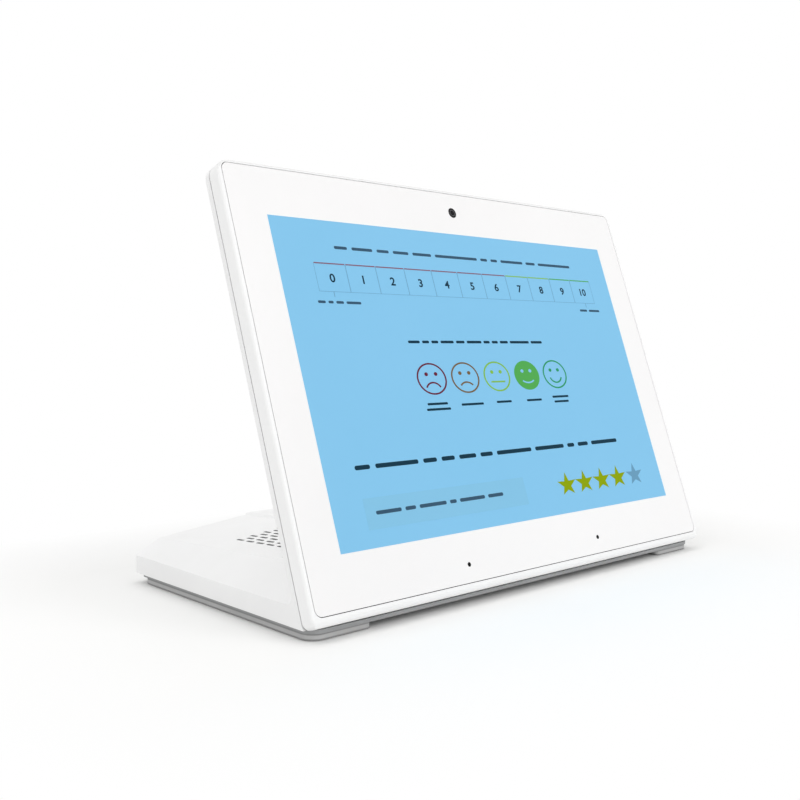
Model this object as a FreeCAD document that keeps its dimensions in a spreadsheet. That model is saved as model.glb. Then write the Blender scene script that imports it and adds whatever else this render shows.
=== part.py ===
"""Counter-top touch terminal: a leaning display on a low base that carries the speakers and the sockets.

Units are millimetres. X runs to the right seen from the front, Y towards the back, Z up, and the
origin lies on the counter under the middle of the terminal.
Bodies of the display share one leaning frame: x across, y up the screen, z out of the glass.
"""

import FreeCAD, Part
import math
import os
import re
import Sketcher

Vector = FreeCAD.Vector

SIZES = {
    # The whole terminal
    "overall_depth": 125.1,
    "panel_width": 255.2,
    "panel_lean": 20,
    "cut_clear": 20.0,
    # Cover glass and the picture behind it
    "screen_width": 216.96,
    "screen_height": 135.6,
    "glass_side": 16.87,
    "glass_end": 20.55,
    "glass_thickness": 1.1,
    "glass_corner": 3.0,
    "tape_thickness": 0.2,
    "tape_spread": 0.25,
    # Front frame
    "frame_depth": 6.4,
    "frame_above_glass": 1.75,
    "frame_below_glass": 3.75,
    "frame_corner": 6.5,
    "frame_foot_corner": 3.3,
    "frame_edge": 1.2,
    "frame_wall": 3.0,
    "ledge_thickness": 1.2,
    "glass_gap": 0.3,
    "seam_width": 0.4,
    "seam_depth": 0.45,
    "chin_radius": 2.5,
    "chin_trim": 0.435,
    "lip_length": 0.8,
    "lip_width": 1.0,
    "lip_gap": 0.2,
    # Display module
    "module_rim_side": 6.25,
    "module_rim_end": 6.0,
    "module_gap": 0.5,
    "cell_thickness": 1.6,
    "guide_thickness": 1.3,
    "tray_thickness": 1.8,
    "tray_wall": 0.8,
    "clip_up": 52.0,
    "clip_length": 18.0,
    "clip_width": 10.0,
    "clip_thickness": 0.6,
    "post_radius": 2.6,
    "post_inset": 3.6,
    "pilot_radius": 1.0,
    "small_screw_radius": 0.95,
    "small_head_radius": 1.9,
    "small_head_height": 0.9,
    "small_screw_length": 2.4,
    # Camera and microphones in the glass border
    "camera_up": 78.5,
    "camera_barrel_radius": 3.2,
    "camera_body_width": 8.5,
    "camera_body_depth": 3.0,
    "camera_gap": 0.3,
    "lens_radius": 2.2,
    "lens_thickness": 0.6,
    "microphone_across": 43.9,
    "microphone_down": 81.1,
    "microphone_hole": 0.65,
    "microphone_width": 4.0,
    "microphone_height": 3.0,
    "microphone_depth": 1.2,
    # Main board behind the display
    "board_width": 130.0,
    "board_height": 62.0,
    "board_up": 4.0,
    "board_thickness": 1.2,
    "board_margin": 5.0,
    "standoff_height": 1.0,
    "chip_width": 17.0,
    "chip_thickness": 1.3,
    "chip_left": 14.0,
    "spreader_width": 58.0,
    "spreader_height": 40.0,
    "spreader_thickness": 0.6,
    "radio_width": 26.0,
    "radio_height": 20.0,
    "radio_thickness": 1.9,
    "radio_inset": 23.0,
    "antenna_width": 42.0,
    "antenna_height": 10.0,
    "antenna_thickness": 0.3,
    "antenna_across": 72.0,
    "antenna_up": 69.0,
    # Rear shell
    "shell_wall": 2.0,
    "flank_depth": 9.0,
    "back_depth": 11.5,
    "back_bevel": 12.2,
    "foot_thickness": 2.6,
    "cover_drop": 1.7,
    "side_wall_height": 7.7,
    "ridge_rise": 6.16,
    "base_rise": 0.058,
    "facet_rise": 0.1105,
    "housing_width": 137.2,
    "housing_flare": 1.0,
    "housing_step": 1.0,
    "flank_blend": 3.0,
    "back_blend": 15.0,
    "rear_corner": 1.0,
    "rail_depth": 1.2,
    "rail_height": 4.0,
    # Speaker slots
    "slot_length": 4.8,
    "slot_width": 1.5,
    "slot_chamfer": 0.4,
    "slot_across": 102.4,
    "slot_back": 44.1,
    "slot_shift": 2.3,
    "slot_row_pitch": 3.5,
    "slot_pitch": 7.15,
    # Bottom cover and feet
    "cover_thickness": 2.0,
    "cover_gap": 0.2,
    "cover_corner": 1.5,
    "cover_lip_length": 3.5,
    "cover_lip_thickness": 1.5,
    "foot_width": 29.0,
    "foot_corner": 6.0,
    "foot_inner_corner": 2.0,
    "foot_inset": 0.6,
    "boss_radius": 3.4,
    "boss_across": 110.5,
    "boss_back": 18.55,
    "boss_pitch": 62.0,
    "cover_pilot_radius": 1.25,
    "cover_screw_radius": 1.2,
    "cover_head_radius": 2.6,
    "cover_head_height": 1.1,
    "cover_screw_length": 8.0,
    # Socket board
    "socket_board_width": 132.0,
    "socket_board_depth": 28.0,
    "socket_board_thickness": 1.6,
    "socket_board_gap": 0.4,
    "socket_board_post": 0.8,
    "socket_board_holes": 41.5,
    "socket_recess": 0.5,
    "socket_gap": 0.3,
    # Network socket
    "network_right": -27.0,
    "network_width": 16.0,
    "network_height": 13.2,
    "network_depth": 21.3,
    "network_mouth_width": 11.9,
    "network_mouth_height": 8.0,
    "network_mouth_depth": 14.0,
    "network_latch_width": 6.2,
    "network_latch_height": 1.6,
    # Two host sockets
    "host_right": -5.5,
    "host_pitch": 17.5,
    "host_width": 13.7,
    "host_height": 6.4,
    "host_depth": 14.0,
    "host_mouth_width": 12.5,
    "host_mouth_height": 5.12,
    "host_mouth_depth": 12.0,
    "host_tongue_width": 11.1,
    "host_tongue_height": 1.84,
    "host_tongue_drop": 0.5,
    # Small reversible socket
    "device_right": 28.0,
    "device_width": 9.3,
    "device_height": 3.5,
    "device_depth": 7.4,
    "device_wall": 0.4,
    "device_tongue_width": 6.7,
    "device_tongue_height": 0.7,
    # Power inlet
    "inlet_right": -46.5,
    "inlet_width": 9.0,
    "inlet_height": 11.0,
    "inlet_depth": 14.0,
    "inlet_bore_radius": 3.2,
    "inlet_bore_depth": 10.0,
    "inlet_pin_radius": 1.05,
    # Headset socket
    "headset_right": 40.0,
    "headset_width": 7.0,
    "headset_height": 6.0,
    "headset_depth": 11.5,
    "headset_collar_radius": 2.9,
    "headset_bore_radius": 1.8,
    # Buttons in the rear wall
    "button_radius": 2.6,
    "button_gap": 0.2,
    "button_height": 12.0,
    "button_recess": 0.2,
    "button_flange_radius": 3.4,
    "button_flange": 1.0,
    "button_stem": 1.8,
    "button_stem_length": 2.5,
    "switch_width": 6.0,
    "switch_depth": 3.6,
    "switch_gap": 1.9,
    "switch_bore": 2.3,
    "switch_bore_depth": 1.6,
    "switch_above_bore": 2.2,
    "power_button_right": -58.5,
    "volume_down_right": 50.0,
    "volume_up_right": 59.0,
    # Speakers
    "speaker_across": 91.9,
    "speaker_forward": 0.6,
    "speaker_width": 29.0,
    "speaker_length": 49.0,
    "speaker_box_height": 9.4,
    "speaker_box_wall": 1.5,
    "speaker_corner": 4.0,
    "driver_thickness": 1.6,
    "driver_overlap": 0.5,
    "driver_dish": 0.9,
    "driver_rim": 3.0,
    "driver_dome_radius": 5.0,
    "driver_dome_height": 0.6,
    "magnet_width": 14.0,
    "magnet_length": 26.0,
    "magnet_depth": 5.0,
    "mesh_width": 26.0,
    "mesh_length": 45.0,
    "mesh_thickness": 0.3,
    "mesh_gap": 0.1,
    # Flat cable between the two boards
    "cable_width": 20.0,
    "cable_thickness": 0.3,
    "cable_bend": 6.0,
    "plug_width": 24.0,
    "plug_length": 5.0,
    "plug_height": 1.6,
}

doc = FreeCAD.newDocument("TouchTerminal")
sheet = doc.addObject("Spreadsheet::Sheet", "Sizes")
for row, (size_name, size) in enumerate(SIZES.items(), start=1):
    sheet.set(f"A{row}", size_name)
    sheet.set(f"B{row}", str(size))
    sheet.setAlias(f"B{row}", size_name)
doc.recompute()

parts = []


# Formulas and the small steps that every body is made with

def linked(formula):
    """The same formula with each size name pointing at its cell in the sheet."""
    return re.sub(r"\b[a-z]+(?:_[a-z]+)+\b", lambda found: "Sizes." + found.group(0), formula)


def value(formula):
    """The number that a formula of sizes gives."""
    result = sheet.evalExpression(linked(formula))
    return float(getattr(result, "Value", result))


def bind(thing, prop, formula):
    thing.setExpression(prop, linked(formula))


def lean(thing, prop):
    """Lay a placement into the display's frame."""
    setattr(thing, prop, FreeCAD.Placement(Vector(), FreeCAD.Rotation(Vector(1, 0, 0), 70)))
    bind(thing, prop + ".Base.y", SCREEN_Y)
    bind(thing, prop + ".Base.z", SCREEN_Z)
    bind(thing, prop + ".Rotation.Angle", "90 - panel_lean")


def new_body(label, leaning=False):
    body = doc.addObject("PartDesign::Body", label)
    body.Label = label
    if leaning:
        lean(body, "Placement")
    parts.append(body)
    return body


def origin_feature(body, role):
    return next(feature for feature in body.Origin.OriginFeatures if feature.Role == role)


def new_sketch(body, name, plane="XY_Plane", offset="0", leaning=False):
    """A sketch on one of the body's own planes, or on the display's plane."""
    sketch = body.newObject("Sketcher::SketchObject", f"{body.Name}_{name}")
    sketch.AttachmentSupport = [(origin_feature(body, plane), "")]
    sketch.MapMode = "FlatFace"
    if leaning:
        lean(sketch, "AttachmentOffset")
    else:
        bind(sketch, "AttachmentOffset.Base.z", offset)
    return sketch


def hold_along(sketch, kind, geometry, point, formula):
    index = sketch.addConstraint(Sketcher.Constraint(kind, -1, 1, geometry, point, value(formula)))
    bind(sketch, f"Constraints[{index}]", formula)


def hold(sketch, geometry, point, across, up):
    """Fix a point of a sketch at two formulas from its origin."""
    hold_along(sketch, "DistanceX", geometry, point, across)
    hold_along(sketch, "DistanceY", geometry, point, up)


def set_radius(sketch, geometry, radius):
    index = sketch.addConstraint(Sketcher.Constraint("Radius", geometry, value(radius)))
    bind(sketch, f"Constraints[{index}]", radius)


def arc_between(start, end, radius, hollow):
    """The short arc from start to end, with its centre on the left, or on the right when hollow."""
    chord = end - start
    half = chord.Length / 2
    side = Vector(-chord.y, chord.x, 0).normalize()
    reach = math.sqrt(max(radius * radius - half * half, 0))
    centre = (start + end) / 2 + side * (-reach if hollow else reach)
    first, last = (end, start) if hollow else (start, end)
    angles = [math.atan2(point.y - centre.y, point.x - centre.x) for point in (first, last)]
    return Part.ArcOfCircle(Part.Circle(centre, Vector(0, 0, 1), radius), *angles)


def outline(sketch, corners):
    """A closed outline, counter-clockwise, through corners given as formulas.

    A corner with a third item is joined to the next one by an arc of that radius, which bows
    outwards, or inwards when the fourth item is "hollow". The third item "half" makes it half a
    circle, across or up the sketch.
    """
    points = [Vector(value(corner[0]), value(corner[1]), 0) for corner in corners]
    pieces = []
    for index, corner in enumerate(corners):
        start = points[index]
        end = points[(index + 1) % len(points)]
        hollow = len(corner) == 4
        if len(corner) == 2:
            pieces.append((sketch.addGeometry(Part.LineSegment(start, end)), 1, 2))
            continue
        radius = (end - start).Length / 2 if corner[2] == "half" else value(corner[2])
        geometry = sketch.addGeometry(arc_between(start, end, radius, hollow))
        pieces.append((geometry, 2, 1) if hollow else (geometry, 1, 2))
    for index, (geometry, _, end) in enumerate(pieces):
        following, start, _ = pieces[(index + 1) % len(pieces)]
        sketch.addConstraint(Sketcher.Constraint("Coincident", geometry, end, following, start))
    for (geometry, start, _), corner in zip(pieces, corners):
        hold(sketch, geometry, start, corner[0], corner[1])
        if corner[2:] == ("half",):
            arc = sketch.Geometry[geometry]
            is_level = abs(arc.StartPoint.y - arc.EndPoint.y) < 1e-6
            kind, formula = ("DistanceY", corner[1]) if is_level else ("DistanceX", corner[0])
            hold_along(sketch, kind, geometry, 3, formula)
        elif len(corner) > 2:
            set_radius(sketch, geometry, corner[2])


def rectangle(sketch, left, right, low, high):
    outline(sketch, [(left, low), (right, low), (right, high), (left, high)])


def rounded(sketch, left, right, low, high, radius, low_radius=None):
    """A rectangle with rounded corners, the lower two with a radius of their own if one is given."""
    foot = low_radius or radius
    outline(sketch, [
        (f"{left} + {foot}", low),
        (f"{right} - {foot}", low, foot),
        (right, f"{low} + {foot}"),
        (right, f"{high} - {radius}", radius),
        (f"{right} - {radius}", high),
        (f"{left} + {radius}", high, radius),
        (left, f"{high} - {radius}"),
        (left, f"{low} + {foot}", foot),
    ])


def circle(sketch, across, up, radius):
    disc = Part.Circle(Vector(value(across), value(up), 0), Vector(0, 0, 1), value(radius))
    geometry = sketch.addGeometry(disc)
    hold(sketch, geometry, 3, across, up)
    set_radius(sketch, geometry, radius)


def stud(sketch, across, up, radius):
    """A small round as a twelve-sided outline, for the fasteners and posts that come in numbers."""
    outline(sketch, [
        (f"{across} + {radius} * cos({turn})", f"{up} + {radius} * sin({turn})")
        for turn in range(0, 360, 30)
    ])


def chamfered(sketch, left, right, low, high, cut):
    """A rectangle with its corners cut off."""
    outline(sketch, [
        (f"{left} + {cut}", low),
        (f"{right} - {cut}", low),
        (right, f"{low} + {cut}"),
        (right, f"{high} - {cut}"),
        (f"{right} - {cut}", high),
        (f"{left} + {cut}", high),
        (left, f"{high} - {cut}"),
        (left, f"{low} + {cut}"),
    ])


def pad(body, sketch, length, down=False):
    feature = body.newObject("PartDesign::Pad", sketch.Name + "_pad")
    feature.Profile = sketch
    bind(feature, "Length", length)
    feature.Reversed = down
    doc.recompute()
    return feature


def pocket(body, sketch, length, up=False):
    """Cut a sketch into the body against the sketch's normal, or along it with up."""
    before = body.Tip.Shape.Volume
    feature = body.newObject("PartDesign::Pocket", sketch.Name + "_pocket")
    feature.Profile = sketch
    bind(feature, "Length", length)
    feature.Reversed = up
    doc.recompute()
    if feature.Shape.Volume >= before:
        raise RuntimeError(f"{feature.Name} cuts nothing")
    return feature


def revolve(body, sketch):
    """Turn a sketch about its own vertical axis."""
    feature = body.newObject("PartDesign::Revolution", sketch.Name + "_turn")
    feature.Profile = sketch
    feature.ReferenceAxis = (sketch, ["V_Axis"])
    feature.Angle = 360
    doc.recompute()
    return feature


def repeat(body, original, axis, length, count, second_axis=None, second_length="0", second_count=1):
    """Copy a feature along one axis of the body, or along two."""
    feature = body.newObject("PartDesign::LinearPattern", original.Name + "_row")
    feature.Originals = [original]
    feature.Direction = (origin_feature(body, axis), [""])
    bind(feature, "Length", length)
    feature.Occurrences = count
    if second_axis:
        feature.Direction2 = (origin_feature(body, second_axis), [""])
        bind(feature, "Length2", second_length)
        feature.Occurrences2 = second_count
    body.Tip = feature
    doc.recompute()
    return feature


def mirror_body(body):
    """Add the mirror image across the middle plane of the terminal."""
    feature = body.newObject("PartDesign::Mirrored", body.Name + "_mirror")
    feature.TransformMode = "Whole shape"
    feature.MirrorPlane = (origin_feature(body, "YZ_Plane"), [""])
    body.Tip = feature
    doc.recompute()
    return feature


def round_edges(body, radius, wanted):
    """Round the edges of the body's last feature that the test picks out."""
    base = body.Tip
    names = [f"Edge{i}" for i, edge in enumerate(base.Shape.Edges, start=1) if wanted(edge)]
    feature = body.newObject("PartDesign::Fillet", base.Name + "_round")
    feature.Base = (base, names)
    bind(feature, "Radius", radius)
    doc.recompute()
    return feature


def is_upright(edge):
    """Whether an edge is a straight line along the body's z axis."""
    first, last = edge.Vertexes[0].Point, edge.Vertexes[-1].Point
    return math.hypot(first.x - last.x, first.y - last.y) < 1e-6 < abs(first.z - last.z)


def lies_at(edge, height):
    return abs(edge.BoundBox.ZMin - height) < 1e-6 and abs(edge.BoundBox.ZMax - height) < 1e-6


# Levels and places that several pieces share

SHELL_FOOT = "(foot_thickness + cover_drop)"
WALL_TOP = f"({SHELL_FOOT} + side_wall_height)"
COVER_TOP = "(foot_thickness + cover_thickness)"
REAR = "(overall_depth / 2)"
REAR_INSIDE = f"({REAR} - shell_wall)"
HALF_WIDTH = "(panel_width / 2)"
RIDGE = f"({HALF_WIDTH} - back_bevel)"
GLASS_HALF_WIDTH = "(screen_width / 2 + glass_side)"
GLASS_HALF_HEIGHT = "(screen_height / 2 + glass_end)"
CHIN = f"({GLASS_HALF_HEIGHT} + frame_below_glass)"
BROW = f"({GLASS_HALF_HEIGHT} + frame_above_glass)"
SCREEN_Y = (
    f"(-overall_depth / 2 + ({CHIN} - chin_radius) * sin(panel_lean)"
    " + chin_radius * (1 - cos(panel_lean)))"
)
SCREEN_Z = (
    f"({SHELL_FOOT} + {CHIN} * cos(panel_lean) + frame_depth * sin(panel_lean) - chin_trim)"
)
LEDGE_FRONT = "(glass_thickness + tape_thickness)"
LEDGE_BACK = f"({LEDGE_FRONT} + ledge_thickness)"
MODULE_HALF_WIDTH = "(screen_width / 2 + module_rim_side)"
MODULE_HALF_HEIGHT = "(screen_height / 2 + module_rim_end)"
CELL_BACK = f"({LEDGE_FRONT} + cell_thickness)"
TRAY_BACK = f"({CELL_BACK} + tray_thickness)"
BOARD_FRONT = f"({TRAY_BACK} + standoff_height)"
BOARD_BACK = f"({BOARD_FRONT} + board_thickness)"
SOCKET_BOARD_TOP = f"({COVER_TOP} + socket_board_post + socket_board_thickness)"
SOCKET_MOUTH = f"({REAR} - socket_recess)"
SOCKET_BOARD_REAR = f"({REAR_INSIDE} - socket_board_gap)"
POST_LEFT = f"(-{HALF_WIDTH} + frame_wall + post_inset)"
BOARD_HOLE = ("-board_width / 2 + board_margin", "board_up - board_height / 2 + board_margin")
BOARD_ROW = ("board_width - 2 * board_margin", 2)
BOARD_COLUMN = ("board_height - 2 * board_margin", 2)
BOARD_PILOT = "(small_screw_length - board_thickness + small_head_height / 8)"


def panel_y(up, back):
    """How far back a point of the leaning display lies, from its place up and into the display."""
    return f"({SCREEN_Y} + ({up}) * sin(panel_lean) + ({back}) * cos(panel_lean))"


def panel_z(up, back):
    return f"({SCREEN_Z} + ({up}) * cos(panel_lean) - ({back}) * sin(panel_lean))"


def panel_point(up, back):
    return panel_y(up, back), panel_z(up, back)


def degrees(slope):
    """The angle of a slope, as a plain number of degrees."""
    return f"(atan({slope}) / 1 deg)"


def base_top(across, back):
    """Height of the base's crowned top between the ridge and the port housing."""
    climb = f"base_rise * ({REAR} - ({back})) + facet_rise * ({RIDGE} - ({across}))"
    return f"({WALL_TOP} + ridge_rise + {climb})"


# The display

def glass_outline(sketch, inset):
    rounded(
        sketch,
        f"-({GLASS_HALF_WIDTH} - ({inset}))",
        f"({GLASS_HALF_WIDTH} - ({inset}))",
        f"-({GLASS_HALF_HEIGHT} - ({inset}))",
        f"({GLASS_HALF_HEIGHT} - ({inset}))",
        f"(glass_corner - ({inset}))",
    )


def module_outline(sketch, grow):
    rectangle(
        sketch,
        f"-({MODULE_HALF_WIDTH} + ({grow}))",
        f"({MODULE_HALF_WIDTH} + ({grow}))",
        f"-({MODULE_HALF_HEIGHT} + ({grow}))",
        f"({MODULE_HALF_HEIGHT} + ({grow}))",
    )


def microphone_holes(sketch):
    for side in ("-", ""):
        circle(sketch, f"{side}microphone_across", "-microphone_down", "microphone_hole")


def make_cover_glass():
    body = new_body("cover_glass", leaning=True)
    sheet_sketch = new_sketch(body, "sheet")
    glass_outline(sheet_sketch, "0")
    microphone_holes(sheet_sketch)
    pad(body, sheet_sketch, "glass_thickness", down=True)


def make_glass_tape():
    body = new_body("glass_tape", leaning=True)
    ring = new_sketch(body, "ring", offset="-glass_thickness")
    glass_outline(ring, "-tape_spread")
    module_outline(ring, "module_gap")
    microphone_holes(ring)
    circle(ring, "0", "camera_up", "camera_barrel_radius + camera_gap")
    pad(body, ring, "tape_thickness", down=True)


def frame_outline(sketch, inset):
    rounded(
        sketch,
        f"-({HALF_WIDTH} - ({inset}))",
        f"({HALF_WIDTH} - ({inset}))",
        f"-({CHIN} - ({inset}))",
        f"({BROW} - ({inset}))",
        f"(frame_corner - ({inset}))",
        f"(frame_foot_corner - ({inset}))",
    )


def add_lip(body):
    """The rib that locates the frame in the rear shell, along the sides and the top."""
    inset = "(shell_wall + lip_gap)"
    outer = f"({HALF_WIDTH} - {inset})"
    inner = f"({outer} - lip_width)"
    top = f"({BROW} - {inset})"
    corner = f"(frame_corner - {inset})"
    inner_corner = f"({corner} - lip_width)"
    foot = f"-({CHIN} - 3 * rail_height)"
    lip = new_sketch(body, "lip", offset="-frame_depth")
    outline(lip, [
        (outer, foot),
        (outer, f"{top} - {corner}", corner),
        (f"{outer} - {corner}", top),
        (f"-{outer} + {corner}", top, corner),
        (f"-{outer}", f"{top} - {corner}"),
        (f"-{outer}", foot),
        (f"-{inner}", foot),
        (f"-{inner}", f"{top} - {corner}", inner_corner, "hollow"),
        (f"-{outer} + {corner}", f"{top} - lip_width"),
        (f"{outer} - {corner}", f"{top} - lip_width", inner_corner, "hollow"),
        (inner, f"{top} - {corner}"),
        (inner, foot),
    ])
    pad(body, lip, "lip_length", down=True)


def cut_seam(body):
    """The narrow groove that shows between the frame and the rear shell, at the sides and the top."""
    outer = f"({HALF_WIDTH} + seam_depth)"
    inner = f"({HALF_WIDTH} - seam_depth)"
    top = f"({BROW} - seam_depth)"
    corner = "(frame_corner - seam_depth)"
    groove = new_sketch(body, "groove", offset="-frame_depth")
    outline(groove, [
        (outer, f"-{CHIN}"),
        (outer, f"{BROW} + seam_depth"),
        (f"-{outer}", f"{BROW} + seam_depth"),
        (f"-{outer}", f"-{CHIN}"),
        (f"-{inner}", f"-{CHIN}"),
        (f"-{inner}", f"{top} - {corner}", corner, "hollow"),
        (f"-{inner} + {corner}", top),
        (f"{inner} - {corner}", top, corner, "hollow"),
        (inner, f"{top} - {corner}"),
        (inner, f"-{CHIN}"),
    ])
    pocket(body, groove, "seam_width", up=True)


def cut_across(body, name, corners):
    """Cut a profile, drawn up the display and out of it, right across the width."""
    profile = new_sketch(body, name, plane="YZ_Plane", offset="-panel_width")
    outline(profile, corners)
    pocket(body, profile, "2 * panel_width", up=True)


def trim_chin(body):
    """Level the frame's underside and round its lower front edge."""
    cut_across(body, "underside", [
        (f"-{CHIN} - cut_clear", "-frame_depth - cut_clear"),
        (level_up("frame_depth + cut_clear"), "-frame_depth - cut_clear"),
        (level_up("-cut_clear"), "cut_clear"),
        (f"-{CHIN} - cut_clear", "cut_clear"),
    ])
    cut_across(body, "chin", [
        (f"-{CHIN}", "-chin_radius", "chin_radius", "hollow"),
        (f"-{CHIN} + chin_radius", "0"),
        (f"-{CHIN} + chin_radius", "chin_radius"),
        (f"-{CHIN} - chin_radius", "chin_radius"),
        (f"-{CHIN} - chin_radius", "-chin_radius"),
    ])


def level_up(back):
    """Where the level of the shell's lower edge crosses a depth of the leaning display."""
    return f"(({SHELL_FOOT} - {SCREEN_Z} + ({back}) * sin(panel_lean)) / cos(panel_lean))"


def make_front_frame():
    body = new_body("front_frame", leaning=True)
    block = new_sketch(body, "block")
    frame_outline(block, "0")
    pad(body, block, "frame_depth", down=True)
    round_edges(body, "frame_edge", lambda edge: lies_at(edge, 0))
    recess = new_sketch(body, "recess")
    glass_outline(recess, "-glass_gap")
    pocket(body, recess, LEDGE_FRONT)
    hollow = new_sketch(body, "hollow", offset="-frame_depth")
    frame_outline(hollow, "frame_wall")
    pocket(body, hollow, f"frame_depth - {LEDGE_BACK}", up=True)
    window = new_sketch(body, "window")
    module_outline(window, "module_gap")
    pocket(body, window, "frame_depth")
    holes = new_sketch(body, "holes")
    circle(holes, "0", "camera_up", "camera_barrel_radius + camera_gap")
    microphone_holes(holes)
    pocket(body, holes, "frame_depth")
    post = new_sketch(body, "post", offset=f"-{LEDGE_BACK}")
    stud(post, POST_LEFT, "-clip_up", "post_radius")
    posts = pad(body, post, f"{TRAY_BACK} - {LEDGE_BACK}", down=True)
    repeat(body, posts, "X_Axis", f"-2 * {POST_LEFT}", 2, "Y_Axis", "2 * clip_up", 2)
    pilot = new_sketch(body, "pilot", offset=f"-{TRAY_BACK}")
    stud(pilot, POST_LEFT, "-clip_up", "pilot_radius")
    pilots = pocket(body, pilot, "small_screw_length - clip_thickness + small_head_height / 4", up=True)
    repeat(body, pilots, "X_Axis", f"-2 * {POST_LEFT}", 2, "Y_Axis", "2 * clip_up", 2)
    cut_seam(body)
    add_lip(body)
    trim_chin(body)


def make_lcd_panel():
    body = new_body("lcd_panel", leaning=True)
    cell = new_sketch(body, "cell", offset=f"-{LEDGE_FRONT}")
    module_outline(cell, "0")
    pad(body, cell, "cell_thickness", down=True)


def make_light_guide():
    body = new_body("light_guide", leaning=True)
    guide = new_sketch(body, "guide", offset=f"-{CELL_BACK}")
    module_outline(guide, "-tray_wall - glass_gap")
    pad(body, guide, "guide_thickness", down=True)


def make_backlight_tray():
    """The folded metal tray under the light guide, with the main board's standoffs."""
    body = new_body("backlight_tray", leaning=True)
    tray = new_sketch(body, "tray", offset=f"-{CELL_BACK}")
    module_outline(tray, "0")
    pad(body, tray, "tray_thickness", down=True)
    well = new_sketch(body, "well", offset=f"-{CELL_BACK}")
    module_outline(well, "-tray_wall")
    pocket(body, well, "guide_thickness")
    standoff = new_sketch(body, "standoff", offset=f"-{TRAY_BACK}")
    stud(standoff, *BOARD_HOLE, "post_radius")
    standoffs = pad(body, standoff, "standoff_height", down=True)
    repeat(body, standoffs, "X_Axis", *BOARD_ROW, "Y_Axis", *BOARD_COLUMN)
    pilot = new_sketch(body, "pilot", offset=f"-{BOARD_FRONT}")
    stud(pilot, *BOARD_HOLE, "pilot_radius")
    pilots = pocket(body, pilot, BOARD_PILOT, up=True)
    repeat(body, pilots, "X_Axis", *BOARD_ROW, "Y_Axis", *BOARD_COLUMN)


def make_lcd_clips():
    """Four flat clips that hold the display module down on the frame's posts."""
    body = new_body("lcd_clips", leaning=True)
    clip = new_sketch(body, "clip", offset=f"-{TRAY_BACK}")
    chamfered(
        clip,
        f"(-{HALF_WIDTH} + frame_wall + glass_gap)",
        f"(-{HALF_WIDTH} + frame_wall + glass_gap + clip_length)",
        "(-clip_up - clip_width / 2)",
        "(-clip_up + clip_width / 2)",
        "pilot_radius",
    )
    stud(clip, POST_LEFT, "-clip_up", "pilot_radius")
    clips = pad(body, clip, "clip_thickness", down=True)
    repeat(body, clips, "Y_Axis", "2 * clip_up", 2)
    mirror_body(body)


def make_screws(body, radius, head_radius, head_height, length, row, column=None):
    """Pan-head screws with their heads up from the body's own plane, on a row or a rectangle."""
    shank = new_sketch(body, "shank")
    stud(shank, "0", "0", radius)
    shanks = pad(body, shank, length, down=True)
    repeat(body, shanks, "X_Axis", *row, *(("Y_Axis", *column) if column else ()))
    head = new_sketch(body, "head")
    stud(head, "0", "0", head_radius)
    heads = pad(body, head, head_height)
    repeat(body, heads, "X_Axis", *row, *(("Y_Axis", *column) if column else ()))


SMALL_SCREW = ("small_screw_radius", "small_head_radius", "small_head_height", "small_screw_length")


def make_small_screws(label, across, up, seat, row, column):
    """Screws that go in from the back of the display, on a rectangle with its upper left at a place."""
    body = new_body(label)
    place = f"vector({across}; {panel_y(up, seat)}; {panel_z(up, seat)})"
    bind(body, "Placement", f"placement({place}; rotation(vector(1; 0; 0); -90 - panel_lean))")
    make_screws(body, *SMALL_SCREW, row, column)


def make_mainboard():
    body = new_body("mainboard", leaning=True)
    board = new_sketch(body, "board", offset=f"-{BOARD_FRONT}")
    rectangle(
        board,
        "-board_width / 2",
        "board_width / 2",
        "board_up - board_height / 2",
        "board_up + board_height / 2",
    )
    pad(body, board, "board_thickness", down=True)
    hole = new_sketch(body, "hole", offset=f"-{BOARD_FRONT}")
    stud(hole, *BOARD_HOLE, "pilot_radius")
    holes = pocket(body, hole, "board_thickness")
    repeat(body, holes, "X_Axis", *BOARD_ROW, "Y_Axis", *BOARD_COLUMN)


def make_plate(label, across, up, width, height, front, thickness):
    """A plain rectangular piece of the display."""
    body = new_body(label, leaning=True)
    face = new_sketch(body, "face", offset=f"-({front})")
    rectangle(
        face,
        f"({across}) - ({width}) / 2",
        f"({across}) + ({width}) / 2",
        f"({up}) - ({height}) / 2",
        f"({up}) + ({height}) / 2",
    )
    pad(body, face, thickness, down=True)


def make_camera():
    body = new_body("camera_module", leaning=True)
    housing = new_sketch(body, "housing", offset=f"-{LEDGE_BACK}")
    rectangle(
        housing,
        "-camera_body_width / 2",
        "camera_body_width / 2",
        "camera_up - camera_body_width / 2",
        "camera_up + camera_body_width / 2",
    )
    pad(body, housing, "camera_body_depth", down=True)
    barrel = new_sketch(body, "barrel", offset=f"-{LEDGE_BACK}")
    circle(barrel, "0", "camera_up", "camera_barrel_radius")
    pad(body, barrel, f"{LEDGE_BACK} - glass_thickness - camera_gap / 3")
    seat = new_sketch(body, "seat", offset="-glass_thickness")
    circle(seat, "0", "camera_up", "lens_radius")
    pocket(body, seat, "camera_gap / 3 + lens_thickness")
    lens = new_body("camera_lens", leaning=True)
    disc = new_sketch(lens, "disc", offset="-glass_thickness - camera_gap / 3")
    circle(disc, "0", "camera_up", "lens_radius")
    pad(lens, disc, "lens_thickness", down=True)


# The rear shell

def back_corner(depth, rear_height, rise):
    """How far up the display its back meets the base's top."""
    level = f"({rear_height}) - {SCREEN_Z} + ({depth}) * sin(panel_lean)"
    run = f"{REAR} - {SCREEN_Y} - ({depth}) * cos(panel_lean)"
    return f"(({level} + {rise} * ({run})) / (cos(panel_lean) + {rise} * sin(panel_lean)))"


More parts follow.
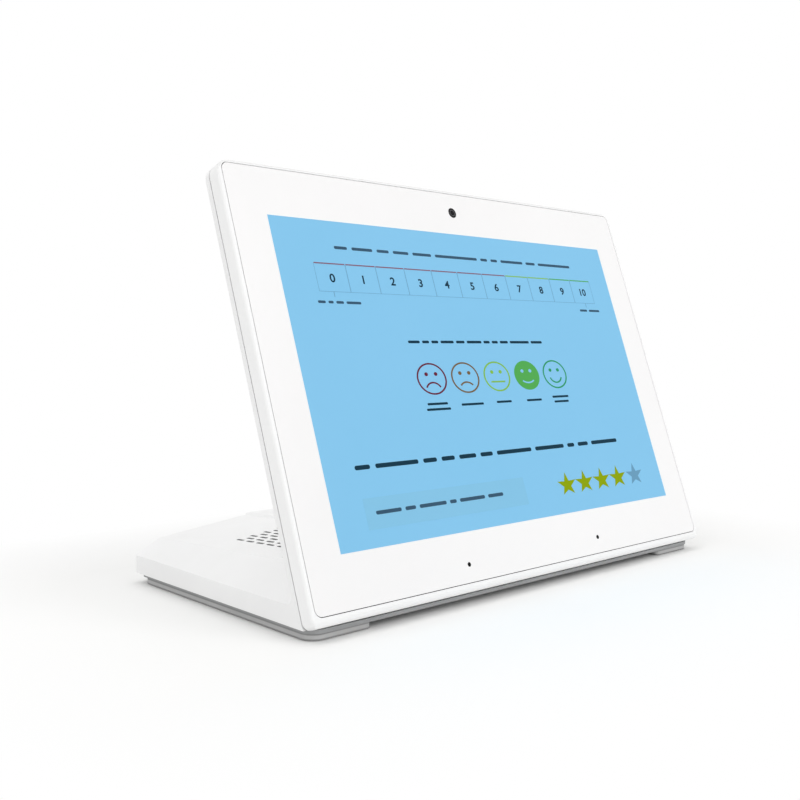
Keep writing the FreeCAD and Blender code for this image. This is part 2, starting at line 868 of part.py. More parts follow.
def blend_points(depth, rear_height, rise, radius):
    """The ends of the round between the display's back and the base's top."""
    corner = back_corner(depth, rear_height, rise)
    reach = f"(({radius}) / tan((90 - panel_lean + {degrees(rise)}) / 2))"
    on_back = panel_point(f"{corner} + {reach}", depth)
    along = f"{panel_y(corner, depth)} + {reach} * cos(atan({rise}))"
    on_top = (along, f"{panel_z(corner, depth)} - {reach} * sin(atan({rise}))")
    return on_back, on_top


def outer_section(depth, rear_height, rise, radius):
    """The shell's outside, cut by an upright plane that runs from front to back."""
    on_back, on_top = blend_points(depth, rear_height, rise, radius)
    return [
        (panel_y(level_up("frame_depth"), "frame_depth"), SHELL_FOOT),
        (REAR, SHELL_FOOT),
        (REAR, rear_height),
        (*on_top, radius, "hollow"),
        on_back,
        panel_point(f"{BROW} - back_bevel", depth),
        panel_point(BROW, "flank_depth"),
        panel_point(BROW, "frame_depth"),
    ]


def cavity_section(depth, rear_height, rise, radius):
    """The hollow inside the shell, open to the display in front and to the cover below."""
    on_back, on_top = blend_points(depth, rear_height, rise, radius)
    clear = "cover_drop"
    before = "(frame_depth - cover_drop)"
    rail_top = f"({SHELL_FOOT} + rail_height)"
    rail_up = f"(({rail_top} - {SCREEN_Z} + {before} * sin(panel_lean)) / cos(panel_lean))"
    top = f"({BROW} - shell_wall)"
    return [
        (COVER_FRONT_EDGE, f"{SHELL_FOOT} - {clear}"),
        (REAR_INSIDE, f"{SHELL_FOOT} - {clear}"),
        (REAR_INSIDE, f"({rear_height}) + {rise} * shell_wall"),
        (*on_top, radius, "hollow"),
        on_back,
        panel_point(f"{BROW} - back_bevel", depth),
        panel_point(top, INNER_FLANK_DEPTH),
        panel_point(top, before),
        (panel_y(rail_up, before), rail_top),
        (COVER_FRONT_EDGE, rail_top),
    ]


COVER_FRONT_EDGE = f"({panel_y(level_up('frame_depth'), 'frame_depth')} + rail_depth)"
SIDE_ANGLE = "atan(ridge_rise / back_bevel)"
BEVEL_ANGLE = "atan((back_depth - flank_depth) / back_bevel)"
INNER_FLANK_DEPTH = f"(flank_depth - shell_wall * (1 - sin({BEVEL_ANGLE})) / cos({BEVEL_ANGLE}))"
INNER_BACK_DEPTH = "(back_depth - shell_wall)"
RIDGE_REAR = f"({WALL_TOP} + ridge_rise)"
HOUSING_FOOT = f"({RIDGE_REAR} + facet_rise * ({RIDGE} - housing_width / 2 - housing_flare))"
HOUSING_TOP = f"({HOUSING_FOOT} + housing_step)"
INNER_WALL_TOP = f"({WALL_TOP} - shell_wall * (1 - sin({SIDE_ANGLE})) / cos({SIDE_ANGLE}))"


def half_loft(body, name, stations, kind):
    """A ruled loft through upright sections, given as distance from the middle and outline."""
    sections = []
    for index, (across, corners) in enumerate(stations):
        section = new_sketch(body, f"{name}{index}", plane="YZ_Plane", offset=across)
        outline(section, corners)
        sections.append(section)
    feature = body.newObject(kind, f"{body.Name}_{name}_loft")
    feature.Profile = sections[0]
    feature.Sections = sections[1:]
    feature.Ruled = True
    doc.recompute()
    return feature


def loft_outside(body):
    top = outer_section("back_depth", HOUSING_TOP, "base_rise", "back_blend")
    foot = outer_section("back_depth", HOUSING_FOOT, "base_rise", "back_blend")
    ridge = outer_section("back_depth", RIDGE_REAR, "base_rise", "back_blend")
    flank = outer_section("flank_depth", WALL_TOP, "0", "flank_blend")
    half_loft(body, "outside", [
        ("0", top),
        ("housing_width / 2", top),
        ("housing_width / 2 + housing_flare", foot),
        (RIDGE, ridge),
        (HALF_WIDTH, flank),
    ], "PartDesign::AdditiveLoft")


def loft_cavity(body):
    blend = "(back_blend + shell_wall)"
    foot = cavity_section(INNER_BACK_DEPTH, f"{HOUSING_FOOT} - shell_wall", "base_rise", blend)
    ridge = cavity_section(INNER_BACK_DEPTH, f"{RIDGE_REAR} - shell_wall", "base_rise", blend)
    inner = "(flank_blend + 2 * shell_wall)"
    flank = cavity_section(INNER_FLANK_DEPTH, INNER_WALL_TOP, "0", inner)
    before = body.Tip.Shape.Volume
    half_loft(body, "cavity", [
        ("-shell_wall", foot),
        ("housing_width / 2 + housing_flare", foot),
        (RIDGE, ridge),
        (f"{HALF_WIDTH} - shell_wall", flank),
    ], "PartDesign::SubtractiveLoft")
    if body.Tip.Shape.Volume >= before:
        raise RuntimeError("the cavity cuts nothing")


def round_top_corner(body):
    """Round the display's upper corner outside and leave the same wall inside."""
    corner = new_sketch(body, "corner", leaning=True)
    outline(corner, [
        (HALF_WIDTH, f"{BROW} - frame_corner", "frame_corner"),
        (f"{HALF_WIDTH} - frame_corner", BROW),
        (f"{HALF_WIDTH} - frame_corner", f"{BROW} + frame_corner"),
        (f"{HALF_WIDTH} + frame_corner", f"{BROW} + frame_corner"),
        (f"{HALF_WIDTH} + frame_corner", f"{BROW} - frame_corner"),
    ])
    pocket(body, corner, "2 * back_depth")


def fill_inner_corner(body):
    inner = f"({HALF_WIDTH} - shell_wall)"
    top = f"({BROW} - shell_wall)"
    radius = "(frame_corner - shell_wall)"
    fill = new_sketch(body, "fill", plane="XY_Plane", leaning=True)
    bind(fill, "AttachmentOffset.Base.y", panel_y("0", "frame_depth"))
    bind(fill, "AttachmentOffset.Base.z", panel_z("0", "frame_depth"))
    outline(fill, [
        (inner, f"{top} - {radius}"),
        (f"{inner} + shell_wall / 4", f"{top} - {radius}"),
        (f"{inner} + shell_wall / 4", f"{top} + shell_wall / 4"),
        (f"{inner} - {radius}", f"{top} + shell_wall / 4"),
        (f"{inner} - {radius}", top, radius, "hollow"),
    ])
    pad(body, fill, "flank_depth - shell_wall / 4 - frame_depth", down=True)


SLOTS_IN_ROW = 6
OUTER_SLOT_ROWS = 4


def cut_slots(body):
    """The two interleaved fields of speaker slots beside the port housing."""
    above = f"({HOUSING_TOP} + 2 * side_wall_height)"
    run = f"{SLOTS_IN_ROW - 1} * slot_pitch"
    front = f"({REAR} - slot_back - {run})"
    for name, rows, back in (
        ("outer", OUTER_SLOT_ROWS, front),
        ("inner", OUTER_SLOT_ROWS - 1, f"({front} - slot_shift)"),
    ):
        across = f"(slot_across - {OUTER_SLOT_ROWS + rows - 2} * slot_row_pitch)"
        slot = new_sketch(body, f"slot_{name}", offset=above)
        chamfered(
            slot,
            f"({across} - slot_width / 2)",
            f"({across} + slot_width / 2)",
            f"({back} - slot_length / 2)",
            f"({back} + slot_length / 2)",
            "slot_chamfer",
        )
        cut = pocket(body, slot, f"{above} - {WALL_TOP}")
        repeat(
            body, cut, "Y_Axis", run, SLOTS_IN_ROW,
            "X_Axis", f"2 * slot_row_pitch * {rows - 1}", rows,
        )


def add_bosses(body):
    """Posts that take the cover's screws, from the cover up into the shell's top."""
    for name, back in (("rear", BOSS_REAR), ("front", BOSS_FRONT)):
        boss = new_sketch(body, f"boss_{name}", offset=COVER_TOP)
        stud(boss, "boss_across", back, "boss_radius")
        stud(boss, "boss_across", back, "cover_pilot_radius")
        height = f"{base_top('boss_across', back)} - shell_wall / 2 - {COVER_TOP}"
        pad(body, boss, height)


BOSS_REAR = f"({REAR} - boss_back)"
BOSS_FRONT = f"({REAR} - boss_back - boss_pitch)"


def cut_ports(body):
    """Openings for the sockets and buttons in the rear wall."""
    wall = new_sketch(body, "ports", plane="XZ_Plane", offset=f"-({REAR} + shell_wall)")
    for right, width, height in (
        ("network_right", "network_width", "network_height"),
        ("host_right", "host_width", "host_height"),
        ("(host_right + host_pitch)", "host_width", "host_height"),
        ("device_right", "device_width", "device_height"),
        ("inlet_right", "inlet_width", "inlet_height"),
    ):
        rectangle(
            wall,
            f"{right} - {width} / 2 - socket_gap",
            f"{right} + {width} / 2 + socket_gap",
            f"{SOCKET_BOARD_TOP} - socket_gap",
            f"{SOCKET_BOARD_TOP} + {height} + socket_gap",
        )
    circle(wall, "headset_right", HEADSET_HEIGHT, "headset_collar_radius + socket_gap")
    for right in BUTTONS.values():
        circle(wall, right, "button_height", "button_radius + button_gap")
    pocket(body, wall, "3 * shell_wall", up=True)


HEADSET_HEIGHT = f"({SOCKET_BOARD_TOP} + headset_height / 2)"
BUTTONS = {
    "power_button": "power_button_right",
    "volume_down_button": "volume_down_right",
    "volume_up_button": "volume_up_right",
}


def is_rear_corner(edge):
    """Whether an edge is the upright one at the outer rear corner of the base."""
    at_rear = edge.BoundBox.YMin > value(REAR) - 0.01
    at_side = edge.BoundBox.XMin > value(HALF_WIDTH) - 0.01
    return at_rear and at_side and is_upright(edge)


def make_rear_shell():
    body = new_body("rear_shell")
    loft_outside(body)
    round_edges(body, "rear_corner", is_rear_corner)
    loft_cavity(body)
    fill_inner_corner(body)
    round_top_corner(body)
    add_bosses(body)
    cut_slots(body)
    mirror_body(body)
    cut_ports(body)


# The bottom

COVER_HALF_WIDTH = f"({HALF_WIDTH} - shell_wall - cover_gap)"
COVER_FRONT = f"({COVER_FRONT_EDGE} + cover_gap)"
COVER_REAR = f"({REAR_INSIDE} - cover_gap)"
COVER_LIP = f"({COVER_FRONT} - cover_lip_length)"


def make_bottom_cover():
    body = new_body("bottom_cover")
    plate = new_sketch(body, "plate", offset="foot_thickness")
    rounded(plate, f"-{COVER_HALF_WIDTH}", COVER_HALF_WIDTH, COVER_FRONT, COVER_REAR, "cover_corner")
    pad(body, plate, "cover_thickness")
    lip = new_sketch(body, "lip", offset="foot_thickness")
    rounded(
        lip,
        f"-{COVER_HALF_WIDTH}",
        COVER_HALF_WIDTH,
        COVER_LIP,
        f"({COVER_LIP} + 4 * cover_lip_length)",
        "cover_corner",
        "foot_corner",
    )
    pad(body, lip, "cover_lip_thickness")
    post = new_sketch(body, "post", offset=COVER_TOP)
    stud(post, "-1.5 * socket_board_holes", SOCKET_HOLE_ROW, "post_radius")
    posts = pad(body, post, "socket_board_post")
    repeat(body, posts, "X_Axis", "3 * socket_board_holes", 4)
    rail = new_sketch(body, "rail", offset=COVER_TOP)
    rectangle(
        rail,
        "-socket_board_width / 2",
        "socket_board_width / 2",
        f"{SOCKET_BOARD_REAR} - 2 * post_radius",
        f"{SOCKET_BOARD_REAR} - post_radius",
    )
    pad(body, rail, "socket_board_post")
    pilot = new_sketch(body, "pilot", offset=f"{COVER_TOP} + socket_board_post")
    stud(pilot, "-1.5 * socket_board_holes", SOCKET_HOLE_ROW, "pilot_radius")
    pilots = pocket(body, pilot, "socket_board_post + cover_thickness / 2")
    repeat(body, pilots, "X_Axis", "3 * socket_board_holes", 4)
    screw = new_sketch(body, "screw", offset="foot_thickness")
    stud(screw, "-boss_across", BOSS_FRONT, "cover_pilot_radius")
    screws = pocket(body, screw, "cover_thickness", up=True)
    repeat(body, screws, "X_Axis", "2 * boss_across", 2, "Y_Axis", "boss_pitch", 2)
    head = new_sketch(body, "head", offset="foot_thickness")
    stud(head, "-boss_across", BOSS_FRONT, "(cover_head_radius + cover_gap)")
    heads = pocket(body, head, "cover_head_height + cover_gap / 2", up=True)
    repeat(body, heads, "X_Axis", "2 * boss_across", 2, "Y_Axis", "boss_pitch", 2)


SOCKET_HOLE_ROW = f"({SOCKET_BOARD_REAR} - socket_board_depth + 2 * small_head_radius)"


def make_foot_pad(label, side):
    """A soft sole along one side, with wide corners outside and tight ones towards the middle."""
    body = new_body(label)
    front = f"({COVER_LIP} + foot_inset)"
    inside = f"({COVER_HALF_WIDTH} - foot_width)"
    left, left_corner = inside, "foot_inner_corner"
    right, right_corner = COVER_HALF_WIDTH, "foot_corner"
    if side < 0:
        left, left_corner, right, right_corner = f"-{right}", right_corner, f"-{left}", left_corner
    sole = new_sketch(body, "sole")
    outline(sole, [
        (f"{left} + {left_corner}", front),
        (f"{right} - {right_corner}", front, right_corner),
        (right, f"{front} + {right_corner}"),
        (right, f"{COVER_REAR} - {right_corner}", right_corner),
        (f"{right} - {right_corner}", COVER_REAR),
        (f"{left} + {left_corner}", COVER_REAR, left_corner),
        (left, f"{COVER_REAR} - {left_corner}"),
        (left, f"{front} + {left_corner}", left_corner),
    ])
    pad(body, sole, "foot_thickness")


def make_cover_screws():
    body = new_body("cover_screws")
    seat = "(foot_thickness + cover_head_height + cover_gap / 2)"
    place = f"vector(-boss_across; {BOSS_REAR}; {seat})"
    bind(body, "Placement", f"placement({place}; rotation(vector(1; 0; 0); 180))")
    make_screws(
        body, "cover_screw_radius", "cover_head_radius", "cover_head_height", "cover_screw_length",
        ("2 * boss_across", 2), ("boss_pitch", 2),
    )


# The socket board and what it carries

def make_socket_board():
    body = new_body("socket_board")
    board = new_sketch(body, "board", offset=f"{COVER_TOP} + socket_board_post")
    rectangle(
        board,
        "-socket_board_width / 2",
        "socket_board_width / 2",
        f"{SOCKET_BOARD_REAR} - socket_board_depth",
        SOCKET_BOARD_REAR,
    )
    pad(body, board, "socket_board_thickness")
    hole = new_sketch(body, "hole", offset=SOCKET_BOARD_TOP)
    stud(hole, "-1.5 * socket_board_holes", SOCKET_HOLE_ROW, "pilot_radius")
    holes = pocket(body, hole, "socket_board_thickness")
    repeat(body, holes, "X_Axis", "3 * socket_board_holes", 4)


def make_socket_board_screws():
    body = new_body("socket_board_screws")
    place = f"vector(-1.5 * socket_board_holes; {SOCKET_HOLE_ROW}; {SOCKET_BOARD_TOP})"
    bind(body, "Placement", f"placement({place}; rotation(vector(1; 0; 0); 0))")
    make_screws(body, *SMALL_SCREW, ("3 * socket_board_holes", 4))


def socket_body(label, right, width, height, depth, mouth):
    """The block of a socket, standing on the board with its mouth to the rear."""
    body = new_body(label)
    block = new_sketch(body, "block", plane="XZ_Plane", offset=f"-({mouth})")
    low = SOCKET_BOARD_TOP
    rectangle(block, f"{right} - {width} / 2", f"{right} + {width} / 2", low, f"{low} + {height}")
    pad(body, block, depth)
    return body


def make_network_socket():
    body = socket_body(
        "network_socket", "network_right", "network_width", "network_height", "network_depth", SOCKET_MOUTH
    )
    mouth = new_sketch(body, "mouth", plane="XZ_Plane", offset=f"-{SOCKET_MOUTH}")
    low = f"({SOCKET_BOARD_TOP} + (network_height - network_mouth_height) / 2)"
    rectangle(
        mouth,
        "network_right - network_mouth_width / 2",
        "network_right + network_mouth_width / 2",
        low,
        f"{low} + network_mouth_height",
    )
    pocket_into(body, mouth, "network_mouth_depth")
    latch = new_sketch(body, "latch", plane="XZ_Plane", offset=f"-{SOCKET_MOUTH}")
    rectangle(
        latch,
        "network_right - network_latch_width / 2",
        "network_right + network_latch_width / 2",
        f"{low} - network_latch_height",
        f"{low} + network_latch_height / 2",
    )
    pocket_into(body, latch, "network_mouth_depth / 2")


def pocket_into(body, sketch, depth):
    """Cut from the mouth of a socket towards the front."""
    return pocket(body, sketch, depth, up=True)


def make_host_socket(label, right):
    body = socket_body(label, right, "host_width", "host_height", "host_depth", SOCKET_MOUTH)
    low = f"({SOCKET_BOARD_TOP} + (host_height - host_mouth_height) / 2)"
    high = f"({low} + host_mouth_height)"
    mouth = new_sketch(body, "mouth", plane="XZ_Plane", offset=f"-{SOCKET_MOUTH}")
    rectangle(mouth, f"{right} - host_mouth_width / 2", f"{right} + host_mouth_width / 2", low, high)
    pocket_into(body, mouth, "host_mouth_depth")
    root = f"({SOCKET_MOUTH} - host_mouth_depth)"
    tongue = new_sketch(body, "tongue", plane="XZ_Plane", offset=f"-{root}")
    tongue_top = f"({high} - host_tongue_drop)"
    rectangle(
        tongue,
        f"{right} - host_tongue_width / 2",
        f"{right} + host_tongue_width / 2",
        f"{tongue_top} - host_tongue_height",
        tongue_top,
    )
    pad(body, tongue, "host_mouth_depth - 2 * socket_recess", down=True)


def make_device_socket():
    body = new_body("device_socket")
    low = SOCKET_BOARD_TOP
    block = new_sketch(body, "block", plane="XZ_Plane", offset=f"-{SOCKET_MOUTH}")
    flat_oval(block, "device_right", "device_width", low, "device_height", "0")
    pad(body, block, "device_depth")
    mouth = new_sketch(body, "mouth", plane="XZ_Plane", offset=f"-{SOCKET_MOUTH}")
    flat_oval(mouth, "device_right", "device_width", low, "device_height", "device_wall")
    pocket_into(body, mouth, "device_depth - device_wall")
    root = f"({SOCKET_MOUTH} - device_depth + device_wall)"
    tongue = new_sketch(body, "tongue", plane="XZ_Plane", offset=f"-{root}")
    middle = f"({low} + device_height / 2)"
    rectangle(
        tongue,
        "device_right - device_tongue_width / 2",
        "device_right + device_tongue_width / 2",
        f"{middle} - device_tongue_height / 2",
        f"{middle} + device_tongue_height / 2",
    )
    pad(body, tongue, "device_depth - device_wall - 2 * socket_recess", down=True)


def flat_oval(sketch, right, width, low, height, inset):
    straight = f"({width} / 2 - {height} / 2)"
    bottom = f"({low} + ({inset}))"
    top = f"({low} + {height} - ({inset}))"
    outline(sketch, [
        (f"{right} - {straight}", bottom),
        (f"{right} + {straight}", bottom, "half"),
        (f"{right} + {straight}", top),
        (f"{right} - {straight}", top, "half"),
    ])


def make_power_inlet():
    body = socket_body(
        "power_inlet", "inlet_right", "inlet_width", "inlet_height", "inlet_depth", SOCKET_MOUTH
    )
    middle = f"({SOCKET_BOARD_TOP} + inlet_height / 2)"
    bore = new_sketch(body, "bore", plane="XZ_Plane", offset=f"-{SOCKET_MOUTH}")
    circle(bore, "inlet_right", middle, "inlet_bore_radius")
    circle(bore, "inlet_right", middle, "inlet_pin_radius")
    pocket_into(body, bore, "inlet_bore_depth")


def make_headset_socket():
    body = new_body("headset_socket")
    inner = REAR_INSIDE
    block = new_sketch(body, "block", plane="XZ_Plane", offset=f"-({inner} - socket_gap)")
    rectangle(
        block,
        "headset_right - headset_width / 2",
        "headset_right + headset_width / 2",
        SOCKET_BOARD_TOP,
        f"{SOCKET_BOARD_TOP} + headset_height",
    )
    pad(body, block, "headset_depth")
    collar = new_sketch(body, "collar", plane="XZ_Plane", offset=f"-({inner} - socket_gap)")
    circle(collar, "headset_right", HEADSET_HEIGHT, "headset_collar_radius")
    pad(body, collar, f"{SOCKET_MOUTH} - {inner} + socket_gap", down=True)
    bore = new_sketch(body, "bore", plane="XZ_Plane", offset=f"-{SOCKET_MOUTH}")
    circle(bore, "headset_right", HEADSET_HEIGHT, "headset_bore_radius")
    pocket_into(body, bore, "headset_depth")


def make_button(label, right):
    """A round button: a flush cap, the flange that keeps it in and the stem that works the switch."""
    body = new_body(label)
    place = f"vector({right}; {REAR_INSIDE} - button_gap / 2; button_height)"
    bind(body, "Placement", f"placement({place}; rotation(vector(1; 0; 0); -90))")
    profile = new_sketch(body, "profile", plane="XZ_Plane")
    cap = "(shell_wall - button_recess + button_gap / 2)"
    outline(profile, [
        ("0", "-button_flange"),
        ("button_flange_radius", "-button_flange"),
        ("button_flange_radius", "0"),
        ("button_radius", "0"),
        ("button_radius", cap),
        ("0", cap),
    ])
    revolve(body, profile)
    stem = new_sketch(body, "stem", offset="-button_flange")
    rectangle(stem, "-button_stem / 2", "button_stem / 2", "-button_stem / 2", "button_stem / 2")
    pad(body, stem, "button_stem_length", down=True)


def make_switches():
    """One switch under each button's stem, all of the same make."""
    for label, right in BUTTONS.items():
        front = f"({REAR_INSIDE} - button_gap / 2 - button_flange - switch_gap)"
        height = f"(button_height + switch_above_bore - {SOCKET_BOARD_TOP})"
        switch_label = label.replace("button", "switch")
        body = socket_body(switch_label, right, "switch_width", height, "switch_depth", front)
        bore = new_sketch(body, "bore", plane="XZ_Plane", offset=f"-{front}")
        rectangle(
            bore,
            f"{right} - switch_bore / 2",
            f"{right} + switch_bore / 2",
            "button_height - switch_bore / 2",
            "button_height + switch_bore / 2",
        )
        pocket_into(body, bore, "switch_bore_depth")


# Speakers

def make_speaker(side, word):
    """One speaker: its box on the cover, the driver on the box and the cloth under the slots."""
    middle = f"({'-' if side < 0 else ''}speaker_across)"
    back = "(-speaker_forward)"

    def footprint(sketch, inset):
        chamfered(
            sketch,
            f"({middle} - speaker_width / 2 + {inset})",
            f"({middle} + speaker_width / 2 - {inset})",
            f"({back} - speaker_length / 2 + {inset})",
            f"({back} + speaker_length / 2 - {inset})",
            f"(speaker_corner - {inset})",
        )

    box = new_body(f"speaker_box_{word}")
    wall = new_sketch(box, "wall", offset=COVER_TOP)
    footprint(wall, "0")
    pad(box, wall, "speaker_box_height")
    inside = new_sketch(box, "inside", offset=f"{COVER_TOP} + speaker_box_height")
    footprint(inside, "speaker_box_wall")
    pocket(box, inside, "speaker_box_height - speaker_box_wall")

    driver = new_body(f"speaker_driver_{word}")
    seat = f"({COVER_TOP} + speaker_box_height)"
    rim = new_sketch(driver, "rim", offset=seat)
    footprint(rim, "driver_overlap")
    pad(driver, rim, "driver_thickness")
    dish = new_sketch(driver, "dish", offset=f"{seat} + driver_thickness")
    footprint(dish, "driver_rim")
    pocket(driver, dish, "driver_dish")
    dome = new_sketch(driver, "dome", offset=f"{seat} + driver_thickness - driver_dish")
    stud(dome, middle, back, "driver_dome_radius")
    pad(driver, dome, "driver_dome_height")
    magnet = new_sketch(driver, "magnet", offset=seat)
    rectangle(
        magnet,
        f"{middle} - magnet_width / 2",
        f"{middle} + magnet_width / 2",
        f"{back} - magnet_length / 2",
        f"{back} + magnet_length / 2",
    )
    pad(driver, magnet, "magnet_depth", down=True)

    mesh = new_body(f"speaker_mesh_{word}")
    tilt = "atan(sqrt(base_rise ^ 2 + facet_rise ^ 2))"
    height = f"({base_top('speaker_across', back)} - (shell_wall + mesh_gap) / cos({tilt}))"
    turn = f"rotation(vector(-base_rise; {'-' if side < 0 else ''}facet_rise; 0); {tilt})"
    bind(mesh, "Placement", f"placement(vector({middle}; {back}; {height}); {turn})")
    cloth = new_sketch(mesh, "cloth")
    rectangle(cloth, "-mesh_width / 2", "mesh_width / 2", "-mesh_length / 2", "mesh_length / 2")
    pad(mesh, cloth, "mesh_thickness", down=True)


# The flat cable from the socket board up to the main board

def make_cable():
    run = f"({SOCKET_BOARD_TOP} + plug_height / 2)"
    over = f"({run} + cable_thickness)"
    depth = f"({BOARD_BACK} + plug_height / 2)"
    outer = f"({depth} - cable_thickness)"
    rear_end = f"({SOCKET_BOARD_REAR} - socket_board_depth)"
    top_end = "(board_up - board_height / 2)"
    lower = bend_points(outer, run, "(cable_bend + cable_thickness)")
    upper = bend_points(depth, over, "cable_bend")
    body = new_body("flat_cable")
    strip = new_sketch(body, "strip", plane="YZ_Plane", offset="-cable_width / 2")
    outline(strip, [
        (rear_end, over),
        (*upper[1], "cable_bend", "hollow"),
        upper[0],
        panel_point(top_end, depth),
        panel_point(top_end, outer),
        (*lower[0], "(cable_bend + cable_thickness)"),
        lower[1],
        (rear_end, run),
    ])
    pad(body, strip, "cable_width")
    make_plate(
        "mainboard_connector", "0", f"{top_end} + plug_length / 2", "plug_width", "plug_length",
        BOARD_BACK, "plug_height",
    )
    foot_plug = new_body("socket_board_connector")
    block = new_sketch(foot_plug, "block", offset=SOCKET_BOARD_TOP)
    rectangle(block, "-plug_width / 2", "plug_width / 2", rear_end, f"{rear_end} + plug_length")
    pad(foot_plug, block, "plug_height")


def bend_points(depth, level, radius):
    """The ends of a bend between a level run and a run up along the display."""
    corner = f"((({level}) - {SCREEN_Z} + ({depth}) * sin(panel_lean)) / cos(panel_lean))"
    reach = f"(({radius}) / tan((90 - panel_lean) / 2))"
    on_back = panel_point(f"{corner} + {reach}", depth)
    on_run = (f"{panel_y(corner, depth)} + {reach}", f"{level}")
    return on_back, on_run


make_cover_glass()
make_glass_tape()
make_front_frame()
make_lcd_panel()
make_light_guide()
make_backlight_tray()
make_lcd_clips()
make_small_screws(
    "lcd_clip_screws", POST_LEFT, "clip_up", f"({TRAY_BACK} + clip_thickness)",
    (f"-2 * {POST_LEFT}", 2), ("2 * clip_up", 2),
)
make_mainboard()
make_small_screws(
    "mainboard_screws", BOARD_HOLE[0], "board_up + board_height / 2 - board_margin", BOARD_BACK,
    BOARD_ROW, BOARD_COLUMN,
)
make_plate(
    "processor", "-chip_left", "board_up", "chip_width", "chip_width", BOARD_BACK, "chip_thickness"
)
make_plate(
    "heat_spreader", "-chip_left", "board_up", "spreader_width", "spreader_height",
    f"({BOARD_BACK} + chip_thickness)", "spreader_thickness",
)
make_plate(
    "radio_shield", "board_width / 2 - radio_inset", "board_up", "radio_width", "radio_height",
    BOARD_BACK, "radio_thickness",
)
for side_word, side_sign in (("left", "-"), ("right", "")):
    make_plate(
        f"antenna_{side_word}", f"{side_sign}antenna_across", "antenna_up", "antenna_width",
        "antenna_height", f"({INNER_BACK_DEPTH} - antenna_thickness)", "antenna_thickness",
    )
    make_plate(
        f"microphone_{side_word}", f"{side_sign}microphone_across", "-microphone_down",
        "microphone_width", "microphone_height", LEDGE_BACK, "microphone_depth",
    )
make_camera()
make_rear_shell()
make_bottom_cover()
make_foot_pad("foot_pad_left", -1)
make_foot_pad("foot_pad_right", 1)
make_cover_screws()
make_socket_board()
make_socket_board_screws()
make_network_socket()
make_host_socket("host_socket_left", "host_right")
make_host_socket("host_socket_right", "(host_right + host_pitch)")
make_device_socket()
make_power_inlet()
make_headset_socket()
for button_label, button_right in BUTTONS.items():
    make_button(button_label, button_right)
make_switches()
make_speaker(-1, "left")
make_speaker(1, "right")
make_cable()

doc.recompute()
for thing in doc.Objects:
    if {"Invalid", "Error"} & set(thing.State):
        raise RuntimeError(f"{thing.Name} failed: {thing.State}")
for part in parts:
    if part.Shape.isNull() or not part.Shape.isValid():
        raise RuntimeError(f"{part.Label} has no valid shape")

os.makedirs("parts", exist_ok=True)
for part in parts:
    part.Shape.exportStep(f"parts/{part.Label}.step")
    size = part.Shape.BoundBox
    print(
        f"{part.Label}: {len(part.Shape.Solids)} solids, "
        f"{size.XLength:.1f} x {size.YLength:.1f} x {size.ZLength:.1f}"
    )
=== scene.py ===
# %% [markdown]
# # Dressing a counter-top feedback terminal
#
# The real object is a ten inch touch screen in a white housing. The housing leans back twenty
# degrees on a low wedge that holds the speakers and sockets. Its solids come from the CAD model.
# This lesson gives every solid a finish, draws the lit picture on the screen, and sets up the studio.

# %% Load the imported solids
import math

import bpy
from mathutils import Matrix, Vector


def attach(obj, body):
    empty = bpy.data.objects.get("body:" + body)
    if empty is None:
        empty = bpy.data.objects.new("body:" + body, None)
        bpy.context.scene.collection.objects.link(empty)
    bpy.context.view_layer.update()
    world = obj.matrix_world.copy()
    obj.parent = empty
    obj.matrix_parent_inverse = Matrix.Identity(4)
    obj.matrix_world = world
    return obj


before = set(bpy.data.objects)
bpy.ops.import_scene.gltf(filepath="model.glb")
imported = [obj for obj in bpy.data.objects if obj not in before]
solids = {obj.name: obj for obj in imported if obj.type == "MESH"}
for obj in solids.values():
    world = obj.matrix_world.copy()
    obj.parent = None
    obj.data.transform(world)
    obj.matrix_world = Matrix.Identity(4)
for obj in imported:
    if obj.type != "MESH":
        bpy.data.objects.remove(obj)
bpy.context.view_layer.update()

# %% [markdown]
# All lengths in Blender are metres. The drawing of the screen is easier to read in millimetres, so
# one constant turns them into metres. The screen's centre and lean are those of the CAD model, and
# the direction in which the glass faces follows from the lean.

# %% Name the sizes that several pieces share
MM = 0.001
SCREEN_CENTRE = Vector((0.0, -31.75 * MM, 92.6 * MM))
SCREEN_LEAN = math.radians(20)
GLASS_NORMAL = Vector((0.0, -math.cos(SCREEN_LEAN), math.sin(SCREEN_LEAN)))
print("the glass faces", [round(part, 3) for part in GLASS_NORMAL])

# %% [markdown]
# The camera stands in front of the left corner, a little above the counter. A lens of 46 mm keeps
# the near edge of the screen taller than the far one. Its turn is given in degrees about each axis.

# %% Place the camera
CAMERA_PLACE = (-0.347719, -0.340076, 0.109947)
CAMERA_TURN = (86.3162, -0.5843, -43.2177)
LENS = 46.033
SENSOR_WIDTH = 36
bpy.ops.object.select_all(action="DESELECT")
bpy.ops.object.camera_add(location=CAMERA_PLACE)
camera = bpy.context.object
camera.name = "studio_camera"
camera.rotation_euler = [math.radians(turn) for turn in CAMERA_TURN]
camera.data.lens = LENS
camera.data.sensor_width = SENSOR_WIDTH
bpy.context.scene.camera = camera
print("camera lens", camera.data.lens, "mm")

# %% [markdown]
# ## Building finishes from shader nodes
#
# A finish here has three parts: two close colours that drift over the surface, a roughness that
# drifts with them, and a fine relief that a Bump node turns into tilted normals. The drift and the
# relief are shared by many finishes, so they live in node groups. The shader stays in the material.

# %% Helpers for node trees
def add_node(tree, kind, **settings):
    """Add a node and set its own properties."""
    made = tree.nodes.new(kind)
    for name, value in settings.items():
        setattr(made, name, value)
    return made


